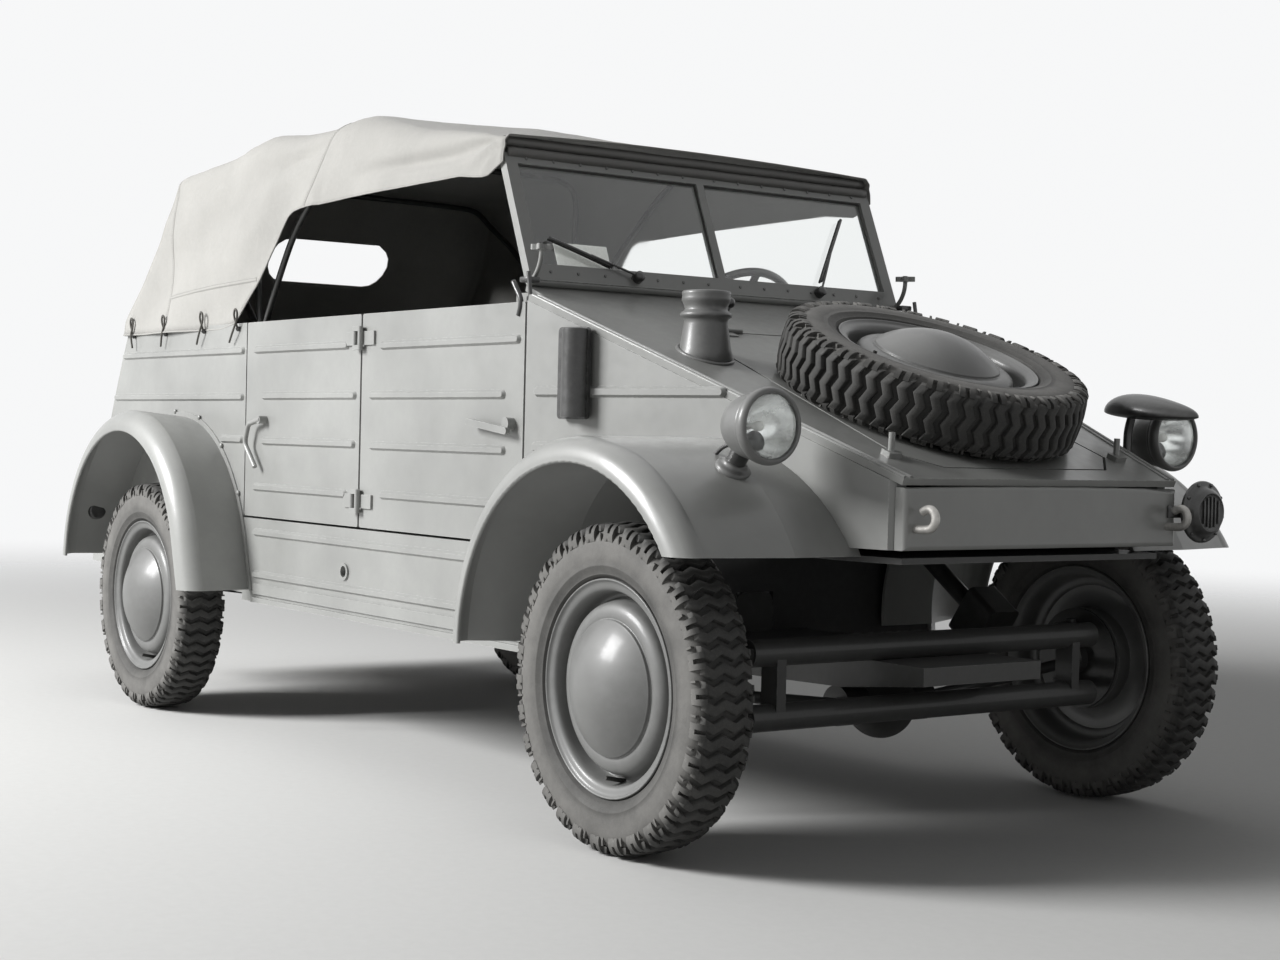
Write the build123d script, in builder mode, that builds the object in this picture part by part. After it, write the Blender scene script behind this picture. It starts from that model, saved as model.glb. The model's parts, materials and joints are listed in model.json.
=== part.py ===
from build123d import *
import os
from math import asin, atan2, cos, degrees, hypot, radians, sin, sqrt, tan

# Open army car with a folding canvas top, rear engine and four doors.
# Millimetres: +X forward, +Y to the car's left, +Z up, ground at Z = 0.
# The origin is the middle of the car's outline on the ground.

os.makedirs("parts", exist_ok=True)

# Overall sizes
overall_length = 3740
overall_width = 1600
overall_height = 1670
wheelbase = 2400
front_axle_x = 1330
rear_axle_x = front_axle_x - wheelbase
nose_end_x = overall_length / 2
tail_end_x = -overall_length / 2
seat_gap = 0.3
running_gap = 0.05
door_gap = 6

# Body walls
fender_half = overall_width / 2
fender_wide = 200
body_half = fender_half - fender_wide
wall = 28
wall_in = body_half - wall
sheet = 8
floor_z = 346
floor_thick = 14
floor_top = floor_z + floor_thick
belt_z = 1128
door_bottom_z = 585
sill_top_z = door_bottom_z - door_gap

# Doors, both hung on the middle post
post_x = 17
post_wide = 54
post_deep = 28
post_out = body_half - 40
front_door_end = front_axle_x - 542
rear_door_end = rear_axle_x + 404
door_split = 9
hinge_out = body_half + 12
hinge_side = 14
hinge_r = 7
hinge_heights = (belt_z - 62, door_bottom_z + 67)
hinge_tall = 60
rib_tall = 24
rib_proud = 8

# Wheels and tyres
tyre_r = 332
tyre_wide = 135
tyre_clear = 12.5
track = 2 * (body_half + tyre_clear) + tyre_wide
bead_r = tyre_r - 124
rim_wide = tyre_wide - 21
flange_r = bead_r + 11
rim_metal = 6
disc_out = 14
disc_in = disc_out - rim_metal
disc_r = bead_r - 30
cap_r = disc_r - 43
cap_rise = 50
drum_r = 118
drum_in = 40
hub_bore_r = 16
wheel_z = tyre_r

# Hood plane, falling to the nose
cowl_x = front_door_end - 45
hood_x0 = cowl_x + 104
hood_z0 = belt_z - 2
hood_fall = 0.3774
hood_tilt = degrees(atan2(hood_fall, 1))
hood_thick = 14
nose_x = nose_end_x - 64
nose_half = body_half - 210
nose_low_z = 628
taper_x0 = front_door_end
taper_x1 = nose_x - 36
taper_half = body_half - 200
taper_slope = (body_half - taper_half) / (taper_x1 - taper_x0)
deck_front_u = (nose_x - 4 - hood_x0) / cos(radians(hood_tilt))
lid_rear_u = 150
lid_front_u = deck_front_u - 61
lid_half = nose_half - 90
lid_front_half = lid_half - 70
lid_corner_u = lid_front_u - 70
catch_u = lid_front_u - 55
catch_y = lid_half + door_gap + 20
lid_hinge_y = lid_half - 100
lid_hinge_r = 5
lid_leaf = 30
leaf_thick = 5
lid_barrel = 60

# Spare wheel on the front lid
spare_u = lid_front_u - 331
spare_lift = tyre_wide / 2 + 7

# Fenders
front_lip_x = front_axle_x - 68
front_lip_z = 374
front_lip_r = 408
front_crown_r = 458
front_inner_x = front_axle_x - 10
front_inner_z = 413
front_inner_r = 421
front_inner_half = body_half - 40
front_crown_half = fender_half - 55
fender_rear_low_z = 378
fender_front_low_z = 611
tub_half = body_half - 205
rear_lip_x = rear_axle_x - 50
rear_lip_z = 386
rear_lip_r = 432
rear_crown_r = 490
rear_join_r = 475
rear_skirt_angle = 17.3
rear_end_angle = 175.6
rear_skirt_low_z = 378
lip_bead_r = 5

# Windscreen
screen_foot_x = cowl_x
screen_foot_z = belt_z + 37
screen_half = body_half - 38
screen_tall = 340
screen_lean = 23.2
screen_thick = 24
screen_post = 32
screen_foot_rail = 42
screen_head_rail = 26
screen_bar = 22
screen_lift = 14
glass_thick = 5
screen_top_x = screen_foot_x - screen_tall * sin(radians(screen_lean))
screen_top_z = screen_foot_z + screen_tall * cos(radians(screen_lean))

# Canvas top
canvas_thick = 7
canvas_foot_half = body_half + 8
canvas_foot_z = belt_z - 16
canvas_side_half = body_half - 34
canvas_shoulder = 90
canvas_crown = 12
header_x = screen_top_x + 3
header_half = body_half - 26
header_shoulder = 16
header_z = screen_top_z + 63.5

# Tail
tail_top_x = tail_end_x + 315
tail_mid = (tail_end_x + 185, belt_z - 250)
tail_low = (tail_end_x + 35, belt_z - 658)
tail_bottom_z = floor_z + 39
tail_wall = 22
engine_lid_top = tail_mid[1] - 32
engine_lid_low = tail_low[1] + 16
engine_lid_half = body_half - 276

# Steering
column_y = 300
column_rise = 35
wheel_hub_x = cowl_x - 363
wheel_hub_z = belt_z - 19
steering_r = 195
column_r = 20
kingpin_y = track / 2 - 75


def hood_height(x):
    """Height of the hood's upper face at a place along the car."""
    return hood_z0 - hood_fall * (x - hood_x0)


def side_half(x):
    """Half the body's width where the front narrows to the nose."""
    return body_half - max(0, x - taper_x0) * taper_slope


def tail_x(z):
    """Place of the tail's outer face at a height, on the circle through its three points."""
    (x1, z1), (x2, z2), (x3, z3) = (tail_top_x, belt_z), tail_mid, tail_low
    a = 2 * (x2 - x1)
    b = 2 * (z2 - z1)
    c = 2 * (x3 - x1)
    d = 2 * (z3 - z1)
    e = x2**2 - x1**2 + z2**2 - z1**2
    f = x3**2 - x1**2 + z3**2 - z1**2
    cx = (e * d - b * f) / (a * d - b * c)
    cz = (a * f - e * c) / (a * d - b * c)
    radius = hypot(x1 - cx, z1 - cz)
    return cx - sqrt(radius**2 - (z - cz) ** 2)


hood_plane = Plane(
    origin=(hood_x0, 0, hood_z0),
    x_dir=(cos(radians(hood_tilt)), 0, -sin(radians(hood_tilt))),
    z_dir=(sin(radians(hood_tilt)), 0, cos(radians(hood_tilt))),
)
side_plane = Plane(
    origin=(taper_x0, -body_half, 0),
    x_dir=(taper_x1 - taper_x0, body_half - taper_half, 0),
    z_dir=(body_half - taper_half, taper_x0 - taper_x1, 0),
)
hood_pin = hood_plane.from_local_coords((lid_rear_u - door_gap / 2, 0, lid_hinge_r))
hood_hinge = Plane(origin=hood_pin, x_dir=hood_plane.x_dir, z_dir=(0, -1, 0))
screen_up = Vector(-sin(radians(screen_lean)), 0, cos(radians(screen_lean)))
screen_out = Vector(cos(radians(screen_lean)), 0, sin(radians(screen_lean)))
screen_foot = Vector(screen_foot_x, 0, screen_foot_z) + screen_up * screen_lift
screen_plane = Plane(origin=screen_foot, x_dir=(0, 1, 0), z_dir=screen_out)
column_dir = Vector(-cos(radians(column_rise)), 0, sin(radians(column_rise)))
wheel_hub = Vector(wheel_hub_x, column_y, wheel_hub_z)
column_plane = Plane(origin=wheel_hub, x_dir=(0, -1, 0), z_dir=column_dir)


def arch_block(grow, inner_end):
    """Solid inside the front right fender, from the crown to a plane beside the tub."""
    with BuildPart() as piece:
        with BuildSketch(Plane.XZ.offset(front_crown_half)):
            with Locations((front_lip_x, front_lip_z)):
                Circle(front_crown_r + grow)
        with BuildSketch(Plane.XZ.offset(front_inner_half)):
            with Locations((front_inner_x, front_inner_z)):
                Circle(front_inner_r + grow)
        loft(ruled=True)
        with BuildSketch(Plane.XZ.offset(inner_end)):
            with Locations((front_inner_x, front_inner_z)):
                Circle(front_inner_r + grow)
        extrude(amount=front_inner_half - inner_end)
    return piece.part


def ribs(rows, out):
    """Pressed ribs on the right side of a wall whose face is at Y = -out."""
    with BuildPart() as piece:
        with BuildSketch(Plane.XZ.offset(out - 1)):
            for x0, x1, z in rows:
                with Locations(((x0 + x1) / 2, z)):
                    SlotOverall(x1 - x0, rib_tall)
        extrude(amount=rib_proud + 1, taper=35)
    return piece.part


# Floor pan: flat floor, middle tunnel and the frame head that carries the front axle
head_half = 170
tunnel_half = 55
tunnel_top = floor_z + 124
floor_rear_x = rear_door_end + 16
floor_front_x = front_door_end + 98
head_front_x = nose_x - 166
head_top_z = floor_z + 32
# Columns: place along the car, height of the underside
head_low = (
    (floor_front_x, floor_z),
    (front_axle_x - 273, floor_z - 43),
    (front_axle_x + 61, floor_z - 34),
    (head_front_x, floor_z - 6),
)
with BuildPart() as floor_pan:
    with BuildSketch(Plane.XZ.offset(-(wall_in - seat_gap))):
        with Locations(((floor_rear_x + floor_front_x) / 2, floor_z + floor_thick / 2)):
            Rectangle(floor_front_x - floor_rear_x, floor_thick)
    extrude(amount=2 * (wall_in - seat_gap))
    with BuildSketch(Plane.YZ.offset(floor_rear_x)):
        with Locations((0, (floor_z + tunnel_top) / 2)):
            RectangleRounded(2 * tunnel_half, tunnel_top - floor_z, 24)
    extrude(amount=floor_front_x - floor_rear_x)
    with BuildSketch(Plane.XZ.offset(-head_half)):
        with BuildLine():
            Polyline(
                *head_low,
                (head_front_x, head_top_z),
                (floor_front_x - 40, head_top_z),
                (floor_front_x - 40, floor_z),
                close=True,
            )
        make_face()
    extrude(amount=2 * head_half)
floor_pan.part.label = "floor_pan"
export_step(floor_pan.part, "parts/floor_pan.step")

# Rear floor: heel board, floor over the gearbox, engine bulkhead and the shelf over the engine
# Columns: place along the car, height of the sheet's middle
rear_floor_line = (
    (floor_rear_x - 7, floor_z + 7),
    (rear_door_end - 54, floor_z + 154),
    (rear_axle_x - 80, floor_z + 214),
    (rear_axle_x - 110, floor_z + 504),
    (tail_mid[0] + 45, floor_z + 524),
)
with BuildPart() as rear_floor:
    with BuildSketch(Plane.XZ.offset(-(wall_in - seat_gap))):
        with BuildLine():
            path = Polyline(*rear_floor_line)
        trace(path, floor_thick)
    extrude(amount=2 * (wall_in - seat_gap))
rear_floor.part.label = "rear_floor"
export_step(rear_floor.part, "parts/rear_floor.step")

# Front tub: dash bulkhead, compartment floor and the walls inside the wheel arches
bulkhead_x = floor_front_x - 14
tub_floor_z = door_bottom_z + 15
tub_front_x = nose_x - 30
tub_bend_x = nose_x - 156
arch_reach = 2 * front_inner_r
column_hole_r = column_r + seat_gap
with BuildPart() as front_tub:
    with BuildSketch(Plane.YZ.offset(bulkhead_x)):
        with BuildLine():
            Polyline(
                (-side_half(floor_front_x) + wall + 2, sill_top_z),
                (-side_half(floor_front_x) + wall + 2, hood_height(floor_front_x) - 26),
                (side_half(floor_front_x) - wall - 2, hood_height(floor_front_x) - 26),
                (side_half(floor_front_x) - wall - 2, sill_top_z),
                (wall_in - 6, sill_top_z),
                (wall_in - 6, floor_top + seat_gap),
                (-wall_in + 6, floor_top + seat_gap),
                (-wall_in + 6, sill_top_z),
                close=True,
            )
        make_face()
        with Locations((0, (floor_z + tunnel_top) / 2)):
            Rectangle(2 * tunnel_half + 2, tunnel_top - floor_z + 2, mode=Mode.SUBTRACT)
        with Locations((0, (floor_z + head_top_z) / 2)):
            Rectangle(2 * head_half + 2, head_top_z - floor_z + 2, mode=Mode.SUBTRACT)
    extrude(amount=14)
    with BuildSketch(Plane.XY.offset(tub_floor_z)):
        with BuildLine():
            Polyline(
                (bulkhead_x, tub_half),
                (tub_bend_x, tub_half),
                (tub_front_x, side_half(tub_front_x) - wall - 3),
                (tub_front_x, -side_half(tub_front_x) + wall + 3),
                (tub_bend_x, -tub_half),
                (bulkhead_x, -tub_half),
                close=True,
            )
        make_face()
    extrude(amount=12)
    with BuildSketch(Plane.XZ.offset(tub_half - 12)):
        with Locations((front_inner_x, front_inner_z)):
            Circle(front_inner_r - sheet - seat_gap)
        with Locations((tub_bend_x - arch_reach / 2, tub_floor_z + arch_reach / 2)):
            Rectangle(arch_reach, arch_reach, mode=Mode.INTERSECT)
    extrude(amount=12)
    with BuildSketch(Plane.XZ.offset(-tub_half)):
        with Locations((front_inner_x, front_inner_z)):
            Circle(front_inner_r - sheet - seat_gap)
        with Locations((tub_bend_x - arch_reach / 2, tub_floor_z + arch_reach / 2)):
            Rectangle(arch_reach, arch_reach, mode=Mode.INTERSECT)
    extrude(amount=12)
    with Locations(column_plane):
        Cylinder(column_hole_r, 2400, mode=Mode.SUBTRACT)
front_tub.part.label = "front_tub"
export_step(front_tub.part, "parts/front_tub.step")

# Sills: ribbed side walls below the doors, with a double foot flange and a jack socket
sill_rear_x = rear_door_end - door_gap
sill_front_x = front_axle_x - 395
strip_rear_x = rear_door_end + 76
strip_front_x = sill_front_x - 85
jack_x = post_x - 68
jack_z = floor_z + 121
jack_r = 15
with BuildPart() as sills:
    with BuildSketch(Plane.XZ.offset(wall_in)):
        with Locations(((sill_rear_x + sill_front_x) / 2, (floor_z + sill_top_z) / 2)):
            Rectangle(sill_front_x - sill_rear_x, sill_top_z - floor_z)
    extrude(amount=wall)
    # Columns: lowest, highest, how far it stands out
    for low, high, proud in ((floor_z, floor_z + 14, 12), (floor_z + 23, floor_z + 52, 6)):
        with BuildSketch(Plane.XZ.offset(body_half)):
            with Locations(((strip_rear_x + strip_front_x) / 2, (low + high) / 2)):
                Rectangle(strip_front_x - strip_rear_x, high - low)
        extrude(amount=proud)
    rib_rear_x = rear_door_end + 66
    rib_front_x = front_door_end - 192
    add(ribs(((rib_rear_x, rib_front_x, sill_top_z - 38), (rib_rear_x, rib_front_x, floor_z + 77)), body_half))
    with BuildSketch(Plane.XZ.offset(body_half)):
        with Locations((jack_x, jack_z)):
            Circle(jack_r + 7)
    extrude(amount=5)
    with BuildSketch(Plane.XZ.offset(body_half + 5)):
        with Locations((jack_x, jack_z)):
            Circle(jack_r)
    extrude(amount=-(wall + 5), mode=Mode.SUBTRACT)
    add(arch_block(seat_gap, tub_half), mode=Mode.SUBTRACT)
    mirror(about=Plane.XZ)
sills.part.label = "sills"
export_step(sills.part, "parts/sills.step")

# Middle posts, with the fixed knuckles of the door hinges
pin_tall = 12
with BuildPart() as door_posts:
    with BuildSketch(Plane.XY.offset(floor_top + seat_gap)):
        with Locations((post_x, -(post_out - post_deep / 2))):
            Rectangle(post_wide, post_deep)
    extrude(amount=belt_z - floor_top - seat_gap)
    for z in hinge_heights:
        for end in (-1, 1):
            with BuildSketch(Plane.XY.offset(z + end * (hinge_tall - pin_tall) / 2 - pin_tall / 2)):
                with Locations((post_x, -(post_out + hinge_out) / 2)):
                    Rectangle(3, hinge_out - post_out)
                with Locations((post_x, -hinge_out)):
                    SlotCenterToCenter(2 * hinge_side, 2 * hinge_r)
            extrude(amount=pin_tall)
    mirror(about=Plane.XZ)
door_posts.part.label = "door_posts"
export_step(door_posts.part, "parts/door_posts.step")

# Quarters: side walls over the rear wheels, back to the sloping tail
quarter_front_x = rear_door_end - door_gap
axle_arch_r = 150
axle_arch_z = wheel_z + 40
# Columns: rear end, front end, height
quarter_ribs = (
    (tail_x(belt_z - 78) + 9, rear_door_end - 15, belt_z - 78),
    (tail_x(belt_z - 209) + 9, rear_door_end - 16, belt_z - 209),
    (tail_x(belt_z - 330) + 29, rear_axle_x - 350, belt_z - 330),
    (rear_axle_x + 237, rear_door_end - 15, belt_z - 330),
)
with BuildPart() as quarters:
    with BuildSketch(Plane.XZ.offset(wall_in)):
        with BuildLine():
            ThreePointArc((tail_top_x, belt_z), tail_mid, tail_low)
            Polyline(
                tail_low,
                (tail_low[0], tail_bottom_z),
                (rear_axle_x - 330, floor_z + 20),
                (quarter_front_x - seat_gap, floor_z + 20),
                (quarter_front_x - seat_gap, belt_z),
                (tail_top_x, belt_z),
            )
        make_face()
        with Locations((rear_axle_x, axle_arch_z)):
            Circle(axle_arch_r, mode=Mode.SUBTRACT)
    extrude(amount=wall)
    add(ribs(quarter_ribs, body_half))
    mirror(about=Plane.XZ)
quarters.part.label = "quarters"
export_step(quarters.part, "parts/quarters.step")


def tail_shell(half, inset):
    """Curved tail wall between the quarters, drawn from the side and drawn out sideways."""
    with BuildPart() as piece:
        with BuildSketch(Plane.XZ.offset(-half)):
            with BuildLine():
                ThreePointArc(
                    (tail_top_x, belt_z - inset), (tail_mid[0], tail_mid[1]), tail_low
                )
                Line(tail_low, (tail_low[0], tail_bottom_z))
                Line((tail_low[0], tail_bottom_z), (tail_low[0] + tail_wall, tail_bottom_z))
                Line(
                    (tail_low[0] + tail_wall, tail_bottom_z),
                    (tail_low[0] + tail_wall, tail_low[1]),
                )
                ThreePointArc(
                    (tail_low[0] + tail_wall, tail_low[1]),
                    (tail_mid[0] + tail_wall + 2, tail_mid[1]),
                    (tail_top_x + tail_wall + 4, belt_z - inset),
                )
                Line(
                    (tail_top_x + tail_wall + 4, belt_z - inset),
                    (tail_top_x, belt_z - inset),
                )
            make_face()
        extrude(amount=2 * half)
    return piece.part


def lid_hinge(place, side, tall):
    """Half of a pair of barrel hinges: the lid's half has one barrel, the body's half has two.

    In the plane, X runs from the pin onto the lid and Y points out of the body.
    """
    half = tall / 2 - seat_gap
    spans = ((-tall / 2, tall),) if side > 0 else ((-tall, half), (tall - half, half))
    with BuildPart() as piece:
        for mid_y in (-lid_hinge_y, lid_hinge_y):
            for start, length in spans:
                with BuildSketch(place.offset(mid_y + start)):
                    Circle(lid_hinge_r)
                    with Locations((side * lid_leaf / 2, 0.5 - lid_hinge_r)):
                        Rectangle(lid_leaf, leaf_thick)
                extrude(amount=length)
    return piece.part


tail_slope = (tail_x(engine_lid_top + 4) - tail_x(engine_lid_top + 2)) / 2
tail_down = Vector(-tail_slope, 0, -1).normalized()
tail_out = Vector(-1, 0, tail_slope).normalized()
tail_pin_z = engine_lid_top + door_gap / 2
tail_pin = Vector(tail_x(tail_pin_z), 0, tail_pin_z) + tail_out * (lid_hinge_r + 1)
tail_hinge = Plane(origin=tail_pin, x_dir=tail_down, z_dir=(0, 1, 0))

# Tail panel, open where the engine lid closes it, with louvres above the lid
louvre_low_z = engine_lid_top + 66
louvre_pitch = 32
louvre_z = [louvre_low_z + row * louvre_pitch for row in range(5)]
louvre_long = 200
louvre_y = engine_lid_half - 94
with BuildPart() as tail_panel:
    add(tail_shell(wall_in - seat_gap, 0))
    with BuildSketch(Plane.YZ.offset(tail_end_x)):
        with Locations((0, (engine_lid_top + engine_lid_low) / 2)):
            RectangleRounded(
                2 * (engine_lid_half + door_gap),
                engine_lid_top - engine_lid_low + 2 * door_gap,
                30,
            )
        for z in louvre_z:
            with Locations((-louvre_y, z), (louvre_y, z)):
                SlotOverall(louvre_long, 12)
    extrude(amount=500, mode=Mode.SUBTRACT)
    add(lid_hinge(tail_hinge, -1, lid_barrel))
tail_panel.part.label = "tail_panel"
export_step(tail_panel.part, "parts/tail_panel.step")

# Engine lid in the tail, with a turn handle
lid_grip_z = engine_lid_low + 54
with BuildPart() as engine_lid:
    add(tail_shell(engine_lid_half, 0))
    with BuildSketch(Plane.YZ.offset(tail_end_x)):
        with Locations((0, (engine_lid_top + engine_lid_low) / 2)):
            RectangleRounded(2 * engine_lid_half, engine_lid_top - engine_lid_low, 24)
    extrude(amount=500, mode=Mode.INTERSECT)
    with BuildSketch(Plane.YZ.offset(tail_x(lid_grip_z) - 14)):
        with Locations((0, lid_grip_z)):
            SlotOverall(90, 18)
    extrude(amount=20)
    add(lid_hinge(tail_hinge, 1, lid_barrel))
engine_lid.part.label = "engine_lid"
export_step(engine_lid.part, "parts/engine_lid.step")

# Cowl sides: walls that narrow from the doors to the nose, above the fenders
nose_cut = 306
with BuildPart() as cowl_sides:
    with BuildSketch(Plane.XY.offset(nose_low_z - 60)):
        with BuildLine():
            Polyline(
                (taper_x0 + door_gap, -side_half(taper_x0 + door_gap)),
                (taper_x1, -taper_half),
                (nose_x - 28.5, -nose_half + 4),
                (nose_x - 28.5, -nose_half + wall),
                (taper_x1 - 10, -taper_half + wall),
                (taper_x0 + door_gap, -wall_in),
                close=True,
            )
        make_face()
    extrude(amount=700)
    with BuildSketch(Plane.XZ):
        with BuildLine():
            Polyline(
                (taper_x0 + door_gap, sill_top_z + seat_gap),
                (nose_x, sill_top_z + seat_gap),
                (nose_x, hood_height(nose_x) - hood_thick / cos(radians(hood_tilt)) - seat_gap),
                (
                    taper_x0 + door_gap,
                    hood_height(taper_x0 + door_gap)
                    - hood_thick / cos(radians(hood_tilt))
                    - seat_gap,
                ),
                close=True,
            )
        make_face()
        with Locations((nose_x, sill_top_z)):
            Rectangle(2 * nose_cut, 2 * (nose_low_z - sill_top_z), mode=Mode.SUBTRACT)
    extrude(amount=700, mode=Mode.INTERSECT)
    add(arch_block(seat_gap, tub_half - 40), mode=Mode.SUBTRACT)
    with BuildSketch(side_plane):
        # Columns: start and end along the wall, height
        for start, end, z in ((34, 592, belt_z - 201), (30, 300, belt_z - 324)):
            with Locations(((start + end) / 2, z)):
                SlotOverall(end - start, rib_tall)
    extrude(amount=rib_proud, taper=35)
    mirror(about=Plane.XZ)
cowl_sides.part.label = "cowl_sides"
export_step(cowl_sides.part, "parts/cowl_sides.step")

# Nose panel with rounded corners
nose_top_z = hood_height(nose_x) - 16
with BuildPart() as nose_panel:
    with BuildSketch(Plane.YZ.offset(nose_x - 28)):
        with BuildLine():
            Line((-nose_half, nose_low_z), (nose_half, nose_low_z))
            Line((nose_half, nose_low_z), (nose_half, nose_top_z))
            ThreePointArc((nose_half, nose_top_z), (0, nose_top_z + 4), (-nose_half, nose_top_z))
            Line((-nose_half, nose_top_z), (-nose_half, nose_low_z))
        make_face()
    extrude(amount=28)
    fillet(nose_panel.edges().group_by(Axis.X)[-1], 9)
nose_panel.part.label = "nose_panel"
export_step(nose_panel.part, "parts/nose_panel.step")

# Front deck around the lid, with a bead along each side
deck_rear_u = (cowl_x - 12 - hood_x0) / cos(radians(hood_tilt))
deck_step_u = (taper_x0 + door_gap + 6 - hood_x0) / cos(radians(hood_tilt))
deck_rear_half = side_half(taper_x0 + door_gap + 6)
lid_outline = (
    (lid_rear_u, lid_half),
    (lid_corner_u, lid_half),
    (lid_front_u, lid_front_half),
    (lid_front_u, -lid_front_half),
    (lid_corner_u, -lid_half),
    (lid_rear_u, -lid_half),
)
with BuildPart() as front_deck:
    with BuildSketch(hood_plane):
        with BuildLine():
            Polyline(
                (deck_rear_u, screen_half),
                (deck_step_u, screen_half),
                (deck_step_u, deck_rear_half),
                (deck_front_u, nose_half + 2),
                (deck_front_u, -nose_half - 2),
                (deck_step_u, -deck_rear_half),
                (deck_step_u, -screen_half),
                (deck_rear_u, -screen_half),
                close=True,
            )
        make_face()
        with BuildLine():
            Polyline(*lid_outline, close=True)
        hole = make_face(mode=Mode.PRIVATE)
        offset(hole, amount=door_gap, kind=Kind.INTERSECTION, mode=Mode.SUBTRACT)
    extrude(amount=-hood_thick)
    for out in (2, 18):
        with BuildLine(hood_plane) as bead_line:
            Line(
                (deck_step_u + 4, -deck_rear_half + out + 4),
                (deck_front_u - 4, -nose_half - 2 + out + 4),
            )
        with BuildSketch(Plane(bead_line.wires()[0] @ 0, z_dir=bead_line.wires()[0] % 0)):
            Circle(4)
        sweep(path=bead_line.wires()[0])
        with BuildLine(hood_plane) as bead_line:
            Line(
                (deck_step_u + 4, deck_rear_half - out - 4),
                (deck_front_u - 4, nose_half + 2 - out - 4),
            )
        with BuildSketch(Plane(bead_line.wires()[0] @ 0, z_dir=bead_line.wires()[0] % 0)):
            Circle(4)
        sweep(path=bead_line.wires()[0])
    add(lid_hinge(hood_hinge, -1, lid_barrel))
    # Sprung catches beside the lid's front corners: a base and a leaning pin
    with BuildSketch(hood_plane):
        with Locations((catch_u, -catch_y), (catch_u, catch_y)):
            RectangleRounded(30, 34, 4)
    extrude(amount=11)
    for y in (-catch_y, catch_y):
        pin_foot = hood_plane.from_local_coords((catch_u, y, 0))
        pin_tip = hood_plane.from_local_coords((catch_u - 14, y, 44))
        with BuildLine() as pin_line:
            Line(pin_foot, pin_tip)
        with BuildSketch(Plane(pin_line.line @ 0, z_dir=pin_line.line % 0)):
            Circle(6.5)
        sweep(path=pin_line.line)
front_deck.part.label = "front_deck"
export_step(front_deck.part, "parts/front_deck.step")

# Front lid with the pedestal of the spare wheel
with BuildPart() as front_lid:
    with BuildSketch(hood_plane):
        with BuildLine():
            Polyline(*lid_outline, close=True)
        make_face()
    extrude(amount=-hood_thick)
    with BuildSketch(hood_plane):
        with Locations((spare_u, 0)):
            Circle(72)
    extrude(amount=spare_lift + disc_in - 1 - seat_gap, taper=8)
    add(lid_hinge(hood_hinge, 1, lid_barrel))
front_lid.part.label = "front_lid"
export_step(front_lid.part, "parts/front_lid.step")

# Tyre, as mitred sectors with flat faces around the wheel's axis: Z points out of the car
half_wide = tyre_wide / 2
tyre_sides = 48
half_sector = radians(180 / tyre_sides)
# Columns: place across the tyre, radius to the facets' corners
tyre_rows = (
    (rim_wide / 2 - 8, flange_r + 1),
    (half_wide - 5, flange_r + 18),
    (half_wide, flange_r + 52),
    (half_wide - 6, tyre_r - 14),
    (half_wide - 18, tyre_r),
)
with BuildPart() as tyre_sector:
    with BuildSketch(Plane.XZ):
        with BuildLine():
            Polyline(
                (bead_r + seat_gap, tyre_rows[0][0]),
                *((radius * cos(half_sector), z) for z, radius in tyre_rows),
                *((radius * cos(half_sector), -z) for z, radius in reversed(tyre_rows)),
                (bead_r + seat_gap, -tyre_rows[0][0]),
                close=True,
            )
        make_face()
    extrude(amount=tyre_r * tan(half_sector), both=True)
    with BuildSketch(Plane.XY.offset(-half_wide)):
        with BuildLine():
            Polyline(
                (0, 0),
                (tyre_r, -tyre_r * tan(half_sector)),
                (tyre_r, tyre_r * tan(half_sector)),
                close=True,
            )
        make_face()
    extrude(amount=tyre_wide, mode=Mode.INTERSECT)
with BuildPart() as tyre_shape:
    with PolarLocations(0, tyre_sides, start_angle=degrees(half_sector)):
        add(tyre_sector.part)

# Wheel section: rim, dished disc and domed cap
rim_half = rim_wide / 2


def dome_middle(radius, base, rise):
    """Middle point of the arc of a round dome, from its edge to its top on the axis."""
    ball = (radius**2 + rise**2) / (2 * rise)
    half_turn = asin(radius / ball) / 2
    return (ball * sin(half_turn), base + rise - ball + ball * cos(half_turn))


def wheel_section(with_drum):
    """Half section of a wheel as turned solid, Z out of the car."""
    with BuildPart() as piece:
        with BuildSketch(Plane.XZ):
            with BuildLine():
                Polyline(
                    (flange_r, rim_half - 8 + seat_gap),
                    (flange_r, rim_half),
                    (flange_r - 6, rim_half),
                    (bead_r - rim_metal - 4, rim_half - 8),
                    (bead_r - rim_metal - 8, 26),
                    (disc_r, disc_out),
                )
                ThreePointArc((disc_r, disc_out), (disc_r - 20, disc_out + 7), (cap_r + 6, disc_out + 4))
                Line((cap_r + 6, disc_out + 4), (cap_r, disc_out + 4))
                ThreePointArc(
                    (cap_r, disc_out + 4),
                    dome_middle(cap_r, disc_out + 4, cap_rise),
                    (0, disc_out + 4 + cap_rise),
                )
                Polyline(
                    (0, disc_out + 4 + cap_rise),
                    (0, disc_in),
                    (disc_r - 4, disc_in),
                    (bead_r - rim_metal - 8, disc_in - 6),
                    (bead_r - rim_metal - 8, -26),
                    (bead_r - rim_metal - 4, -rim_half + 8),
                    (flange_r - 6, -rim_half),
                    (flange_r, -rim_half),
                    (flange_r, -rim_half + 8 - seat_gap),
                    (bead_r, -rim_half + 8 - seat_gap),
                    (bead_r, rim_half - 8 + seat_gap),
                    (flange_r, rim_half - 8 + seat_gap),
                )
            make_face()
        revolve(axis=Axis.Z)
        if with_drum:
            with BuildSketch(Plane.XY.offset(-drum_in)):
                Circle(drum_r)
            extrude(amount=drum_in + disc_in + 1)
            with BuildSketch(Plane.XY.offset(-drum_in - 1)):
                Circle(hub_bore_r)
            extrude(amount=drum_in + disc_in - 4, mode=Mode.SUBTRACT)
    return piece.part


road_wheel = wheel_section(True)
spare_shape = wheel_section(False)
spare_place = hood_plane.location * Location((spare_u, 0, spare_lift))
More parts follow.
